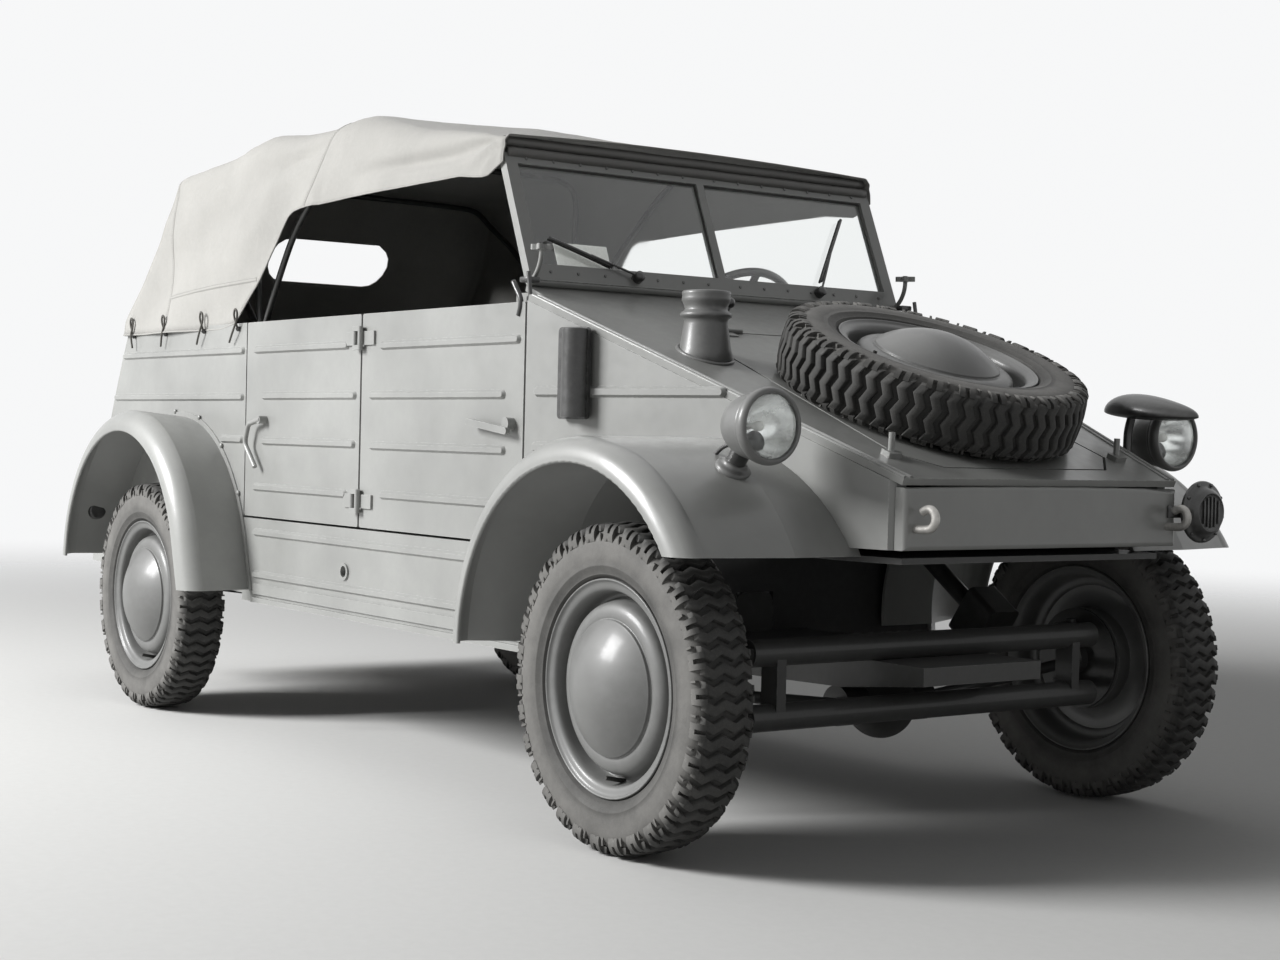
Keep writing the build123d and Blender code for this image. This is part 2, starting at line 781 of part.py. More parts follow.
# Columns: name, place of the wheel's middle
corners = (
    ("front_right", (front_axle_x, -track / 2, wheel_z), 90),
    ("front_left", (front_axle_x, track / 2, wheel_z), -90),
    ("rear_right", (rear_axle_x, -track / 2, wheel_z), 90),
    ("rear_left", (rear_axle_x, track / 2, wheel_z), -90),
)
for corner, place, turn in corners:
    with BuildPart() as tyre:
        with Locations(Location(place, (turn, 0, 0))):
            add(tyre_shape.part)
    tyre.part.label = "tyre_" + corner
    export_step(tyre.part, "parts/tyre_" + corner + ".step")
    with BuildPart() as wheel:
        with Locations(Location(place, (turn, 0, 0))):
            add(road_wheel)
    wheel.part.label = "wheel_" + corner
    export_step(wheel.part, "parts/wheel_" + corner + ".step")

with BuildPart() as spare_tyre:
    with Locations(spare_place):
        add(tyre_shape.part)
spare_tyre.part.label = "spare_tyre"
export_step(spare_tyre.part, "parts/spare_tyre.step")
with BuildPart() as spare_wheel:
    with Locations(spare_place):
        add(spare_shape)
    with BuildSketch(hood_plane.offset(spare_lift + disc_in - 1)):
        with Locations((spare_u, 0)):
            Circle(60)
    extrude(amount=1)
spare_wheel.part.label = "spare_wheel"
export_step(spare_wheel.part, "parts/spare_wheel.step")

# Front fenders: crowned shell from the lip to a liner that ends on the tub wall
shoulder_plane = Plane(origin=(front_lip_x, 0, front_lip_z), x_dir=(0, 0, 1), z_dir=(1, 0, 0))
with BuildPart() as front_fenders:
    add(arch_block(0, tub_half + seat_gap))
    add(arch_block(-sheet, tub_half - 1), mode=Mode.SUBTRACT)
    # The sketch plane's X is up and its Y points to the car's right
    with BuildSketch(shoulder_plane):
        with BuildLine():
            ThreePointArc(
                (front_crown_r, front_crown_half),
                (front_crown_r - 14, fender_half - 15),
                (front_lip_r, fender_half),
            )
            Line((front_lip_r, fender_half), (front_lip_r, fender_half - sheet))
            ThreePointArc(
                (front_lip_r, fender_half - sheet),
                (front_crown_r - 14 - 6, fender_half - 15 - 6),
                (front_crown_r - sheet, front_crown_half),
            )
            Line((front_crown_r - sheet, front_crown_half), (front_crown_r, front_crown_half))
        make_face()
        with Locations((front_lip_r, fender_half - lip_bead_r)):
            Circle(lip_bead_r)
    revolve(axis=Axis((front_lip_x, 0, front_lip_z), (0, 1, 0)))
    with BuildSketch(Plane.XZ.offset(tub_half - 1)):
        with BuildLine():
            Polyline(
                (front_lip_x, fender_front_low_z),
                (nose_end_x, fender_front_low_z),
                (nose_end_x, -200),
                (front_lip_x - 600, -200),
                (front_lip_x - 600, fender_rear_low_z),
                (front_lip_x, fender_rear_low_z),
                close=True,
            )
        make_face()
    extrude(amount=fender_half, mode=Mode.SUBTRACT)
    mirror(about=Plane.XZ)
front_fenders.part.label = "front_fenders"
export_step(front_fenders.part, "parts/front_fenders.step")

# Rear fenders: turned arch with a straight skirt ahead of the wheel
skirt_angle = radians(rear_skirt_angle)
skirt_long = 200
rear_section = Plane(
    origin=(rear_lip_x, 0, rear_lip_z),
    x_dir=(cos(skirt_angle), 0, sin(skirt_angle)),
    z_dir=(sin(skirt_angle), 0, -cos(skirt_angle)),
)
with BuildSketch(rear_section) as rear_profile:
    with BuildLine():
        Line((rear_join_r, body_half + seat_gap), (rear_crown_r, front_crown_half))
        ThreePointArc(
            (rear_crown_r, front_crown_half),
            (rear_crown_r - 17, fender_half - 16),
            (rear_lip_r, fender_half),
        )
        Line((rear_lip_r, fender_half), (rear_lip_r, fender_half - sheet))
        ThreePointArc(
            (rear_lip_r, fender_half - sheet),
            (rear_crown_r - 17 - 6, fender_half - 16 - 6),
            (rear_crown_r - sheet, front_crown_half),
        )
        Line((rear_crown_r - sheet, front_crown_half), (rear_join_r - sheet, body_half + seat_gap))
        Line((rear_join_r - sheet, body_half + seat_gap), (rear_join_r, body_half + seat_gap))
    make_face()
    with Locations((rear_lip_r, fender_half - lip_bead_r)):
        Circle(lip_bead_r)
    with Locations((rear_join_r + 4, body_half + seat_gap + 2)):
        Rectangle(22, 4)
with BuildPart() as rear_fenders:
    add(rear_profile.sketch)
    revolve(
        axis=Axis((rear_lip_x, 0, rear_lip_z), (0, -1, 0)),
        revolution_arc=rear_end_angle - rear_skirt_angle,
    )
    extrude(rear_profile.sketch, amount=skirt_long, dir=rear_section.z_dir)
    with BuildSketch(Plane.XZ.offset(body_half)):
        with Locations((rear_door_end, rear_skirt_low_z - skirt_long / 2)):
            Rectangle(2 * skirt_long, skirt_long)
    extrude(amount=fender_half, mode=Mode.SUBTRACT)
    mirror(about=Plane.XZ)
rear_fenders.part.label = "rear_fenders"
export_step(rear_fenders.part, "parts/rear_fenders.step")


# Doors, drawn on the right side and mirrored
handle_z = belt_z - 273


def handle_front():
    """Straight lever on a round boss near the front edge."""
    with BuildPart() as piece:
        with BuildSketch(Plane.XZ.offset(body_half - 1)):
            with Locations((front_door_end - 43, handle_z)):
                Circle(14)
        extrude(amount=22)
        with BuildSketch(Plane.XZ.offset(body_half + 16)):
            with Locations(Location((front_door_end - 116, handle_z - 7), -6.6)):
                SlotOverall(180, 16)
        extrude(amount=12)
    return piece.part


def handle_rear():
    """Bent grab lever near the rear edge."""
    with BuildPart() as piece:
        with BuildLine() as bend:
            FilletPolyline(
                (rear_door_end + 135, -body_half - 20, handle_z + 1),
                (rear_door_end + 66, -body_half - 24, handle_z - 13),
                (rear_door_end + 44, -body_half - 24, handle_z - 65),
                (rear_door_end + 106, -body_half - 20, handle_z - 131),
                radius=26,
            )
        with BuildSketch(Plane(bend.wires()[0] @ 0, z_dir=bend.wires()[0] % 0)):
            Circle(7)
        sweep(path=bend.wires()[0])
        with BuildSketch(Plane.XZ.offset(body_half - 1)):
            with Locations((rear_door_end + 130, handle_z)):
                Circle(11)
        extrude(amount=26)
    return piece.part


# Columns: rear end, front end, height
front_ribs = (
    (post_x + 101, front_door_end - 14, belt_z - 83),
    (post_x + 48, front_door_end - 74, belt_z - 207),
    (post_x + 54, front_door_end - 69, belt_z - 334),
    (post_x + 113, front_door_end - 88, door_bottom_z + 87),
)
rear_ribs = (
    (rear_door_end + 48, post_x - 65, belt_z - 78),
    (rear_door_end + 105, post_x - 21, belt_z - 207),
    (rear_door_end + 107, post_x - 23, belt_z - 332),
    (rear_door_end + 56, post_x - 62, door_bottom_z + 82),
)
# Columns: name, hinge edge, free edge, ribs, handle, side of the hinge from the post
door_rows = (
    ("front_door", post_x + door_split / 2, front_door_end, front_ribs, handle_front(), 1),
    ("rear_door", post_x - door_split / 2, rear_door_end, rear_ribs, handle_rear(), -1),
)
for door_name, hinge_edge, free_edge, rows, handle, side in door_rows:
    middle = (hinge_edge + free_edge) / 2
    width = abs(free_edge - hinge_edge)
    with BuildPart() as door:
        with BuildSketch(Plane.XZ.offset(wall_in)):
            with Locations((middle, (belt_z + door_bottom_z) / 2)):
                RectangleRounded(width, belt_z - door_bottom_z, 6)
        extrude(amount=wall)
        with BuildSketch(Plane.XZ.offset(wall_in)):
            with Locations((middle, (belt_z + door_bottom_z) / 2 + 10)):
                RectangleRounded(width - 110, belt_z - door_bottom_z - 120, 30)
        extrude(amount=wall - 10, mode=Mode.SUBTRACT)
        add(ribs(rows, body_half))
        add(handle)
        for z in hinge_heights:
            with BuildSketch(Plane.XY.offset(z - hinge_tall / 2 + pin_tall + 0.5)):
                with Locations((post_x + side * hinge_side, -hinge_out)):
                    Circle(hinge_r)
                with Locations((post_x + side * (hinge_side + 30), -body_half - 3)):
                    Rectangle(60, 6)
                with Locations((post_x + side * (hinge_side + 2), -(hinge_out + body_half) / 2)):
                    Rectangle(8, hinge_out - body_half)
            extrude(amount=hinge_tall - 2 * pin_tall - 1)
    door.part.label = door_name + "_right"
    export_step(door.part, "parts/" + door_name + "_right.step")
    with BuildPart() as other:
        mirror(door.part, about=Plane.XZ)
    other.part.label = door_name + "_left"
    export_step(other.part, "parts/" + door_name + "_left.step")

# Windscreen frame with a middle bar, its foot tube on the cowl and a star knob at each end
pane_half = (2 * screen_half - 2 * screen_post - screen_bar) / 4
pane_mid_y = screen_bar / 2 + pane_half
pane_tall = screen_tall - screen_lift - screen_foot_rail - screen_head_rail
pane_mid_v = screen_foot_rail + pane_tall / 2
foot_tube_r = 9.5
knob_rod_r = 5.5
knob_y = screen_half - knob_rod_r
knob_wide = 50
with BuildPart() as windscreen_frame:
    with BuildSketch(screen_plane.offset(-screen_thick / 2)):
        with Locations((0, (screen_tall - screen_lift) / 2)):
            Rectangle(2 * screen_half, screen_tall - screen_lift)
        with Locations((-pane_mid_y, pane_mid_v), (pane_mid_y, pane_mid_v)):
            Rectangle(2 * pane_half, pane_tall, mode=Mode.SUBTRACT)
    extrude(amount=screen_thick)
    with Locations(Location(screen_foot, (90, 0, 0))):
        Cylinder(foot_tube_r, 2 * screen_half)
    for y in (-knob_y, knob_y):
        tube_end = screen_foot + Vector(0, y, 0)
        with BuildLine() as knob_rod:
            ThreePointArc(
                tube_end,
                tube_end + screen_out * 40 + screen_up * 12,
                tube_end + screen_out * 68 + screen_up * 46,
            )
        with BuildSketch(Plane(knob_rod.line @ 0, z_dir=knob_rod.line % 0)):
            Circle(knob_rod_r)
        sweep(path=knob_rod.line)
        with BuildSketch(Plane(knob_rod.line @ 1, z_dir=knob_rod.line % 1)):
            Circle(knob_wide / 4)
            for turn in (45, 135):
                with Locations(Location((0, 0, 0), (0, 0, turn))):
                    SlotOverall(knob_wide, knob_wide / 4)
        extrude(amount=knob_wide / 4)
windscreen_frame.part.label = "windscreen_frame"
export_step(windscreen_frame.part, "parts/windscreen_frame.step")

with BuildPart() as windscreen_glass:
    with BuildSketch(screen_plane.offset(-glass_thick / 2)):
        with Locations((-pane_mid_y, pane_mid_v), (pane_mid_y, pane_mid_v)):
            Rectangle(2 * pane_half, pane_tall)
    extrude(amount=glass_thick)
windscreen_glass.part.label = "windscreen_glass"
export_step(windscreen_glass.part, "parts/windscreen_glass.step")

# Wipers: a pivot on the foot rail, an arm and a blade along the glass for each pane
wiper_v = screen_foot_rail - 20
# Columns: pivot across, pivot up, blade's near end, blade's far end, across and up the glass
wiper_rows = (
    (272 - screen_half, wiper_v, (262 - screen_half, wiper_v + 22), (62 - screen_half, wiper_v + 73)),
    (screen_half - 262, wiper_v, (screen_half - 252, wiper_v + 33), (screen_half - 142, wiper_v + 178)),
)
with BuildPart() as wipers:
    for pivot_y, pivot_v, near, far in wiper_rows:
        with BuildSketch(screen_plane.offset(screen_thick / 2 + seat_gap)):
            with Locations((pivot_y, pivot_v)):
                Circle(11)
        extrude(amount=10)
        with BuildLine(screen_plane.offset(screen_thick / 2 + 6)) as arm:
            Line((pivot_y, pivot_v), near)
        with BuildSketch(Plane(arm.wires()[0] @ 0, z_dir=arm.wires()[0] % 0)):
            Circle(4)
        sweep(path=arm.wires()[0])
        with BuildLine(screen_plane.offset(screen_thick / 2 + 5.5)) as blade:
            Line(near, far)
        with BuildSketch(Plane(blade.wires()[0] @ 0, z_dir=blade.wires()[0] % 0)):
            Circle(5)
        sweep(path=blade.wires()[0])
wipers.part.label = "wipers"
export_step(wipers.part, "parts/wipers.step")

# Dashboard across the car below the cowl
dash_x = cowl_x - 70
dash_half = wall_in - 20
dash_low_z = belt_z - 163
dash_top_z = belt_z - 10
dial_z = belt_z - 80
deck_under = hood_thick / cos(radians(hood_tilt)) + seat_gap
with BuildPart() as dashboard:
    with BuildSketch(Plane.XZ.offset(-dash_half)):
        with BuildLine():
            Polyline(
                (dash_x, dash_low_z),
                (dash_x + 14, dash_low_z),
                (dash_x + 14, dash_top_z),
                (cowl_x + 40, dash_top_z),
                (cowl_x + 40, hood_height(cowl_x + 40) - deck_under),
                (cowl_x - 10, hood_height(cowl_x - 10) - deck_under),
                (dash_x, hood_height(cowl_x - 10) - deck_under),
                close=True,
            )
        make_face()
    extrude(amount=2 * dash_half)
    with BuildSketch(Plane.YZ.offset(dash_x - 18)):
        with Locations((0, dial_z)):
            RectangleRounded(260, 120, 12)
    extrude(amount=20)
dashboard.part.label = "dashboard"
export_step(dashboard.part, "parts/dashboard.step")

# Steering column down to the steering box, and the steering wheel on it
column_long = 1130
with BuildPart() as steering_column:
    with BuildSketch(column_plane.offset(-70)):
        Circle(column_r)
    extrude(amount=-(column_long - 70))
    with BuildSketch(column_plane.offset(-column_long)):
        RectangleRounded(90, 120, 14)
    extrude(amount=-90)
    with BuildSketch(column_plane.offset(-68)):
        Circle(8)
    extrude(amount=-20, mode=Mode.SUBTRACT)
steering_column.part.label = "steering_column"
export_step(steering_column.part, "parts/steering_column.step")

with BuildPart() as steering_wheel:
    with BuildSketch(Plane(origin=wheel_hub, x_dir=(0, 1, 0), z_dir=(-column_dir.Z, 0, column_dir.X))):
        with Locations((steering_r, 0)):
            Circle(11)
    revolve(axis=Axis(wheel_hub, column_dir))
    with BuildSketch(column_plane.offset(-64)):
        Circle(24)
    extrude(amount=74)
    with BuildSketch(column_plane.offset(-64)):
        Circle(7.5)
    extrude(amount=-18)
    with BuildSketch(column_plane.offset(-4)):
        for turn in (90, 210, 330):
            with PolarLocations(steering_r / 2, 1, start_angle=turn):
                Rectangle(steering_r, 22)
    extrude(amount=6)
steering_wheel.part.label = "steering_wheel"
export_step(steering_wheel.part, "parts/steering_wheel.step")

# Seats: frames on the floor, front pads and a rear bench, with leaning backs
seat_mid_y = wall_in - 272
seat_half = 215
seat_z = floor_top + 200
pad_thick = 80
back_thick = 60
back_tall = 420
back_low = 30
rail_wide = 19
rear_leg_wide = 190
front_pad_x = post_x + 53
rear_pad_x = rear_door_end + 106
rear_pad_half = wall_in - 52
front_back_x = front_pad_x - 235
rear_back_x = rear_pad_x - 215
rear_frame_half = rear_pad_half - 90
rear_leg_ys = (-rear_pad_half + 80, -150, 150, rear_pad_half - 80)
front_back = Plane(origin=(front_back_x, 0, seat_z + 60), x_dir=(0, 1, 0), z_dir=(1, 0, 0.25))
rear_back = Plane(origin=(rear_back_x, 0, seat_z + 60), x_dir=(0, 1, 0), z_dir=(1, 0, 0.25))
with BuildPart() as front_seat_pads:
    with BuildSketch(Plane.XY.offset(seat_z)):
        with Locations((front_pad_x, -seat_mid_y), (front_pad_x, seat_mid_y)):
            RectangleRounded(440, 2 * seat_half, 40)
    extrude(amount=pad_thick)
    with BuildSketch(front_back):
        with Locations((-seat_mid_y, back_low + back_tall / 2), (seat_mid_y, back_low + back_tall / 2)):
            RectangleRounded(2 * seat_half, back_tall, 50)
    extrude(amount=-back_thick)
front_seat_pads.part.label = "front_seat_pads"
export_step(front_seat_pads.part, "parts/front_seat_pads.step")

with BuildPart() as rear_seat_pads:
    with BuildSketch(Plane.XY.offset(seat_z)):
        with Locations((rear_pad_x, 0)):
            RectangleRounded(400, 2 * rear_pad_half, 40)
    extrude(amount=pad_thick)
    with BuildSketch(rear_back):
        with Locations((0, back_low + back_tall / 2)):
            RectangleRounded(2 * (rear_pad_half + 10), back_tall, 50)
    extrude(amount=-back_thick)
rear_seat_pads.part.label = "rear_seat_pads"
export_step(rear_seat_pads.part, "parts/rear_seat_pads.step")

with BuildPart() as seat_frames:
    for mid_y in (-seat_mid_y, seat_mid_y):
        for rail_y in (mid_y - 170, mid_y + 170):
            with BuildSketch(Plane.XZ.offset(-rail_y)):
                with BuildLine():
                    frame_line = Polyline(
                        (front_pad_x + 180, floor_top + rail_wide / 2 + seat_gap),
                        (front_pad_x - 275, floor_top + rail_wide / 2 + seat_gap),
                        (front_pad_x - 275, seat_z - rail_wide / 2 - seat_gap),
                        (front_pad_x + 180, seat_z - rail_wide / 2 - seat_gap),
                        close=True,
                    )
                trace(frame_line, rail_wide)
            extrude(amount=rail_wide)
        with BuildSketch(front_back.offset(-back_thick - seat_gap)):
            with Locations((mid_y - rail_wide / 2, 190)):
                RectangleRounded(340 + rail_wide, 500, 24)
                RectangleRounded(340 - rail_wide, 500 - 2 * rail_wide, 12, mode=Mode.SUBTRACT)
        extrude(amount=-rail_wide)
    for rail_y in rear_leg_ys:
        with BuildSketch(Plane.XZ.offset(-rail_y)):
            with Locations((rear_pad_x + 30, (floor_top + seat_z) / 2)):
                Rectangle(rear_leg_wide, seat_z - floor_top - 2 * seat_gap)
        extrude(amount=rail_wide)
    with BuildSketch(rear_back.offset(-back_thick - seat_gap)):
        with Locations((-rear_frame_half, 150), (rear_frame_half, 150)):
            Rectangle(rail_wide, 560)
        with Locations((0, 400)):
            Rectangle(2 * rear_frame_half, rail_wide)
    extrude(amount=-rail_wide)
    with BuildSketch(Plane.XZ.offset(-body_half)):
        with BuildLine():
            Polyline(
                (floor_rear_x, 0),
                (rear_floor_line[1][0], rear_floor_line[1][1] + floor_thick / 2 + seat_gap),
                (rear_floor_line[2][0], rear_floor_line[2][1] + floor_thick / 2 + seat_gap),
                (rear_floor_line[2][0], 0),
                close=True,
            )
        make_face()
    extrude(amount=2 * body_half, mode=Mode.SUBTRACT)
seat_frames.part.label = "seat_frames"
export_step(seat_frames.part, "parts/seat_frames.step")

# Canvas top: one skin over the bows, open at both sides and cut for the rear window
# Columns: place along the car, height of the roof's edge, half width of the side, shoulder radius
roof_rows = (
    (header_x, header_z, header_half, header_shoulder),
    (post_x - 192, overall_height - 20, canvas_side_half, canvas_shoulder),
    (rear_door_end - 34, overall_height - 15, canvas_side_half, canvas_shoulder),
    (tail_top_x + 265, overall_height - 58, canvas_side_half, canvas_shoulder),
    (tail_top_x - 65, overall_height - 58, canvas_side_half, canvas_shoulder),
)
# Columns: place along the car, height, down the rear curtain
curtain_line = (
    (tail_top_x + 293, overall_height + 30),
    (tail_top_x + 293, overall_height - 80),
    (tail_top_x + 211, belt_z + 270),
    (tail_top_x + 103, belt_z + 134),
    (tail_top_x - 3, belt_z + 32),
    (tail_top_x - 3, belt_z - 128),
)
# Columns: place along the car, height, round the open side from the rear foot to the header
side_opening = (
    (rear_door_end - 94, belt_z - 128),
    (rear_door_end - 94, belt_z + 8),
    (rear_door_end + 46, belt_z + 123),
    (rear_door_end + 161, belt_z + 284),
    (rear_door_end + 286, belt_z + 302),
    (header_x - 172, belt_z + 314),
    (header_x - 54, belt_z + 298),
    (header_x + 48, belt_z + 347),
    (header_x + 48, belt_z - 128),
)


def top_section(x, edge_z, side_half_width, shoulder, inset):
    """Cross-section of the top at one place, drawn inset from the canvas's outer face."""
    foot = canvas_foot_half - inset
    side = side_half_width - inset
    low = canvas_foot_z - inset * 3
    z = edge_z - inset
    side_z = edge_z - shoulder - inset
    bend = shoulder * 0.3
    with BuildSketch(Plane.YZ.offset(x)) as face:
        with BuildLine():
            Line((-foot, low), (foot, low))
            Line((foot, low), (side, side_z))
            ThreePointArc((side, side_z), (side - bend, z - bend), (side - shoulder, z))
            ThreePointArc((side - shoulder, z), (0, z + canvas_crown), (-side + shoulder, z))
            ThreePointArc((-side + shoulder, z), (-side + bend, z - bend), (-side, side_z))
            Line((-side, side_z), (-foot, low))
        make_face()
    return face.sketch


def top_block(inset):
    """Whole space under the canvas, less what lies behind the rear curtain."""
    with BuildPart() as piece:
        for x, edge_z, side, shoulder in roof_rows:
            reach = inset if x == header_x else 0
            add(top_section(x + reach, edge_z, side, shoulder, inset))
        loft(ruled=True)
        with BuildSketch(Plane.XZ.offset(-overall_width / 2)):
            with BuildLine():
                Polyline(
                    *((x + inset * 1.2, z) for x, z in curtain_line),
                    (tail_end_x, belt_z - 128),
                    (tail_end_x, overall_height + 30),
                    close=True,
                )
            make_face()
        extrude(amount=overall_width, mode=Mode.SUBTRACT)
    return piece.part


window_z = belt_z + 250
window_tall = 135
window_long = 430
with BuildPart() as canvas_top:
    add(top_block(0))
    add(top_block(canvas_thick), mode=Mode.SUBTRACT)
    with BuildSketch(Plane.XZ.offset(-overall_width / 2)):
        with BuildLine():
            Polyline(*side_opening, close=True)
        make_face()
    extrude(amount=overall_width, mode=Mode.SUBTRACT)
    with BuildSketch(Plane.YZ.offset(tail_top_x - 45)):
        with Locations((0, window_z)):
            SlotOverall(window_long, window_tall)
    extrude(amount=400, mode=Mode.SUBTRACT)
    with BuildSketch(Plane.XY.offset(belt_z + seat_gap)):
        Rectangle(overall_length, 2 * (body_half + seat_gap))
    extrude(amount=-200, mode=Mode.SUBTRACT)
canvas_top.part.label = "canvas_top"
export_step(canvas_top.part, "parts/canvas_top.step")

# Header rail that clamps the canvas to the windscreen
header_tall = 52
header_deep = 40
header_out = screen_thick / 2 + 2
with BuildPart() as top_header:
    with BuildSketch(screen_plane.offset(header_out - header_deep)):
        with Locations((0, screen_tall - screen_lift + seat_gap + header_tall / 2)):
            Rectangle(2 * (header_half - canvas_thick - 9), header_tall)
    extrude(amount=header_deep)
    fillet(top_header.edges().filter_by(Axis.Y), 4)
top_header.part.label = "top_header"
export_step(top_header.part, "parts/top_header.step")

# Bows of the folding top, all hung near the rear door's rear edge
bow_r = 9
bow_root = (rear_door_end - 74, wall_in - 32, belt_z - 38)
# Columns: place along the car, height of the bow's middle at the top, place of its foot
bow_rows = (
    (post_x - 192, overall_height - 40, bow_root[0] + 40),
    (rear_door_end - 34, overall_height - 36, bow_root[0]),
    (tail_top_x + 320, overall_height - 80, bow_root[0] - 40),
)
with BuildPart() as top_bows:
    for x, z, root_x in bow_rows:
        half = canvas_side_half - canvas_thick - bow_r - 12
        with BuildLine() as hoop:
            FilletPolyline(
                (root_x, -bow_root[1], bow_root[2]),
                (x, -half, z),
                (x, half, z),
                (root_x, bow_root[1], bow_root[2]),
                radius=70,
            )
        with BuildSketch(Plane(hoop.wires()[0] @ 0, z_dir=hoop.wires()[0] % 0)):
            Circle(bow_r)
        sweep(path=hoop.wires()[0])
    for side in (-1, 1):
        with Locations((bow_root[0], side * (wall_in - 16), bow_root[2])):
            Box(130, 31, 50)
top_bows.part.label = "top_bows"
export_step(top_bows.part, "parts/top_bows.step")

# Headlamps: bowl, rim and glass on a foot that stands on the fender
lamp_x = nose_x - 180
lamp_y = body_half - 15
lamp_z = 858
lamp_r = 75
lamp_deep = 95
with BuildPart() as headlamps:
    with BuildSketch(Plane(origin=(lamp_x, -lamp_y, lamp_z), x_dir=(0, 0, 1), z_dir=(0, -1, 0))):
        # X of the sketch is up, and its Y points back
        bowl = dome_middle(lamp_r - 7, 10, lamp_deep)
        lens = dome_middle(lamp_r - 10, 14, 11)
        with BuildLine():
            Line((0, -25), (0, 10 + lamp_deep))
            ThreePointArc((0, 10 + lamp_deep), bowl, (lamp_r - 7, 10))
            Polyline((lamp_r - 7, 10), (lamp_r, 10), (lamp_r, -8), (lamp_r - 10, -14))
            ThreePointArc((lamp_r - 10, -14), (lens[0], -lens[1]), (0, -25))
        make_face()
    revolve(axis=Axis((lamp_x, -lamp_y, lamp_z), (1, 0, 0)))
    with BuildSketch(Plane.XY.offset(lamp_z - 40)):
        with Locations((lamp_x - 40, -lamp_y)):
            Circle(20)
    extrude(amount=-100, taper=-12)
    add(arch_block(seat_gap, tub_half), mode=Mode.SUBTRACT)
    mirror(about=Plane.XZ)
headlamps.part.label = "headlamps"
export_step(headlamps.part, "parts/headlamps.step")

# Night lamp: a flat hood on a stalk, on the left fender
night_y = lamp_y - 115
night_wide = 100
night_x = nose_x - 269
with BuildPart() as night_lamp:
    with BuildSketch(Plane.XZ.offset(-night_y - night_wide / 2)):
        with BuildLine():
            Polyline(
                (night_x, lamp_z + 77),
                (night_x + 8, lamp_z + 99),
                (night_x + 103, lamp_z + 104),
                (night_x + 254, lamp_z + 47),
                (night_x + 254, lamp_z + 33),
                (night_x, lamp_z + 42),
                close=True,
            )
        make_face()
    extrude(amount=night_wide)
    fillet(night_lamp.edges().filter_by(Axis.Y), 4)
    with BuildSketch(Plane.XY.offset(lamp_z - 52)):
        with Locations((night_x + 53, night_y)):
            Circle(12)
    extrude(amount=96)
night_lamp.part.label = "night_lamp"
export_step(night_lamp.part, "parts/night_lamp.step")

# Horn on the left end of the nose
horn_y = nose_half + 60
horn_z = nose_low_z + 73
with BuildPart() as horn:
    with BuildSketch(Plane.YZ.offset(nose_x + 6)):
        with Locations((horn_y, horn_z)):
            Circle(66)
    extrude(amount=20)
    with BuildSketch(Plane.YZ.offset(nose_x + 26)):
        with Locations((horn_y, horn_z)):
            Circle(50)
    extrude(amount=28, taper=20)
    with BuildSketch(Plane.YZ.offset(nose_x + seat_gap)):
        with Locations((horn_y - 40, horn_z)):
            Rectangle(120, 24)
    extrude(amount=6)
horn.part.label = "horn"
export_step(horn.part, "parts/horn.step")

# Direction indicators on the cowl sides: half-round housing on a back plate
arm_u = 180
arm_z = belt_z - 161
arm_tall = 200
arm_r = 32
with BuildPart() as trafficators:
    with BuildSketch(side_plane.offset(rib_proud + seat_gap)):
        with Locations((arm_u - 10, arm_z)):
            RectangleRounded(90, arm_tall, 10)
    extrude(amount=10)
    arm_root = side_plane.offset(rib_proud + 10).from_local_coords((arm_u, arm_z - arm_tall / 2 + 4))
    with BuildSketch(Plane(origin=arm_root, x_dir=side_plane.x_dir, z_dir=(0, 0, 1))):
        Circle(arm_r)
        with Locations((0, arm_r)):
            Rectangle(4 * arm_r, 2 * arm_r, mode=Mode.SUBTRACT)
    extrude(amount=arm_tall - 8)
    mirror(about=Plane.XZ)
trafficators.part.label = "trafficators"
export_step(trafficators.part, "parts/trafficators.step")

# Tow hooks: C-shaped eyes on the nose, small eyes on the tail
hook_thick = 16
hook_y = nose_half - 50
with BuildPart() as tow_hooks:
    # Columns: face that the eye stands on, its tip, height, bore
    for foot_x, tip_x, z, bore in (
        (nose_x + seat_gap, nose_end_x, nose_low_z + 58, 16),
        (tail_low[0] - seat_gap, tail_end_x, tail_low[1] - 30, 8),
    ):
        hook_r = abs(tip_x - foot_x) / 2
        for y in (-hook_y, hook_y):
            with BuildSketch(Plane.XZ.offset(-y - hook_thick / 2)):
                with Locations(((foot_x + tip_x) / 2, z)):
                    Circle(hook_r)
                with Locations(((3 * foot_x + tip_x) / 4, z)):
                    Rectangle(hook_r, 2 * hook_r)
                with Locations(((foot_x + tip_x) / 2, z)):
                    Circle(bore, mode=Mode.SUBTRACT)
            extrude(amount=hook_thick)
tow_hooks.part.label = "tow_hooks"
export_step(tow_hooks.part, "parts/tow_hooks.step")

# Fuel filler: a conical neck with a ribbed lid, standing on the deck
filler_x = hood_x0 + 303
filler_y = 20 - nose_half
filler_z = hood_height(filler_x)
with BuildPart() as fuel_filler:
    with BuildSketch(Plane.XZ.offset(-filler_y)):
        with BuildLine():
            Polyline(
                (filler_x, hood_height(filler_x + 50) - 2),
                (filler_x + 58, hood_height(filler_x + 50) - 2),
                (filler_x + 46, filler_z + 80),
                (filler_x + 56, filler_z + 84),
                (filler_x + 46, filler_z + 96),
                (filler_x + 52, filler_z + 116),
                (filler_x + 52, filler_z + 136),
                (filler_x, filler_z + 139),
                close=True,
            )
        make_face()
    revolve(axis=Axis((filler_x, filler_y, 0), (0, 0, 1)))
    with BuildSketch(hood_plane):
        Rectangle(overall_length, overall_width)
    extrude(amount=-200, mode=Mode.SUBTRACT)
fuel_filler.part.label = "fuel_filler"
export_step(fuel_filler.part, "parts/fuel_filler.step")

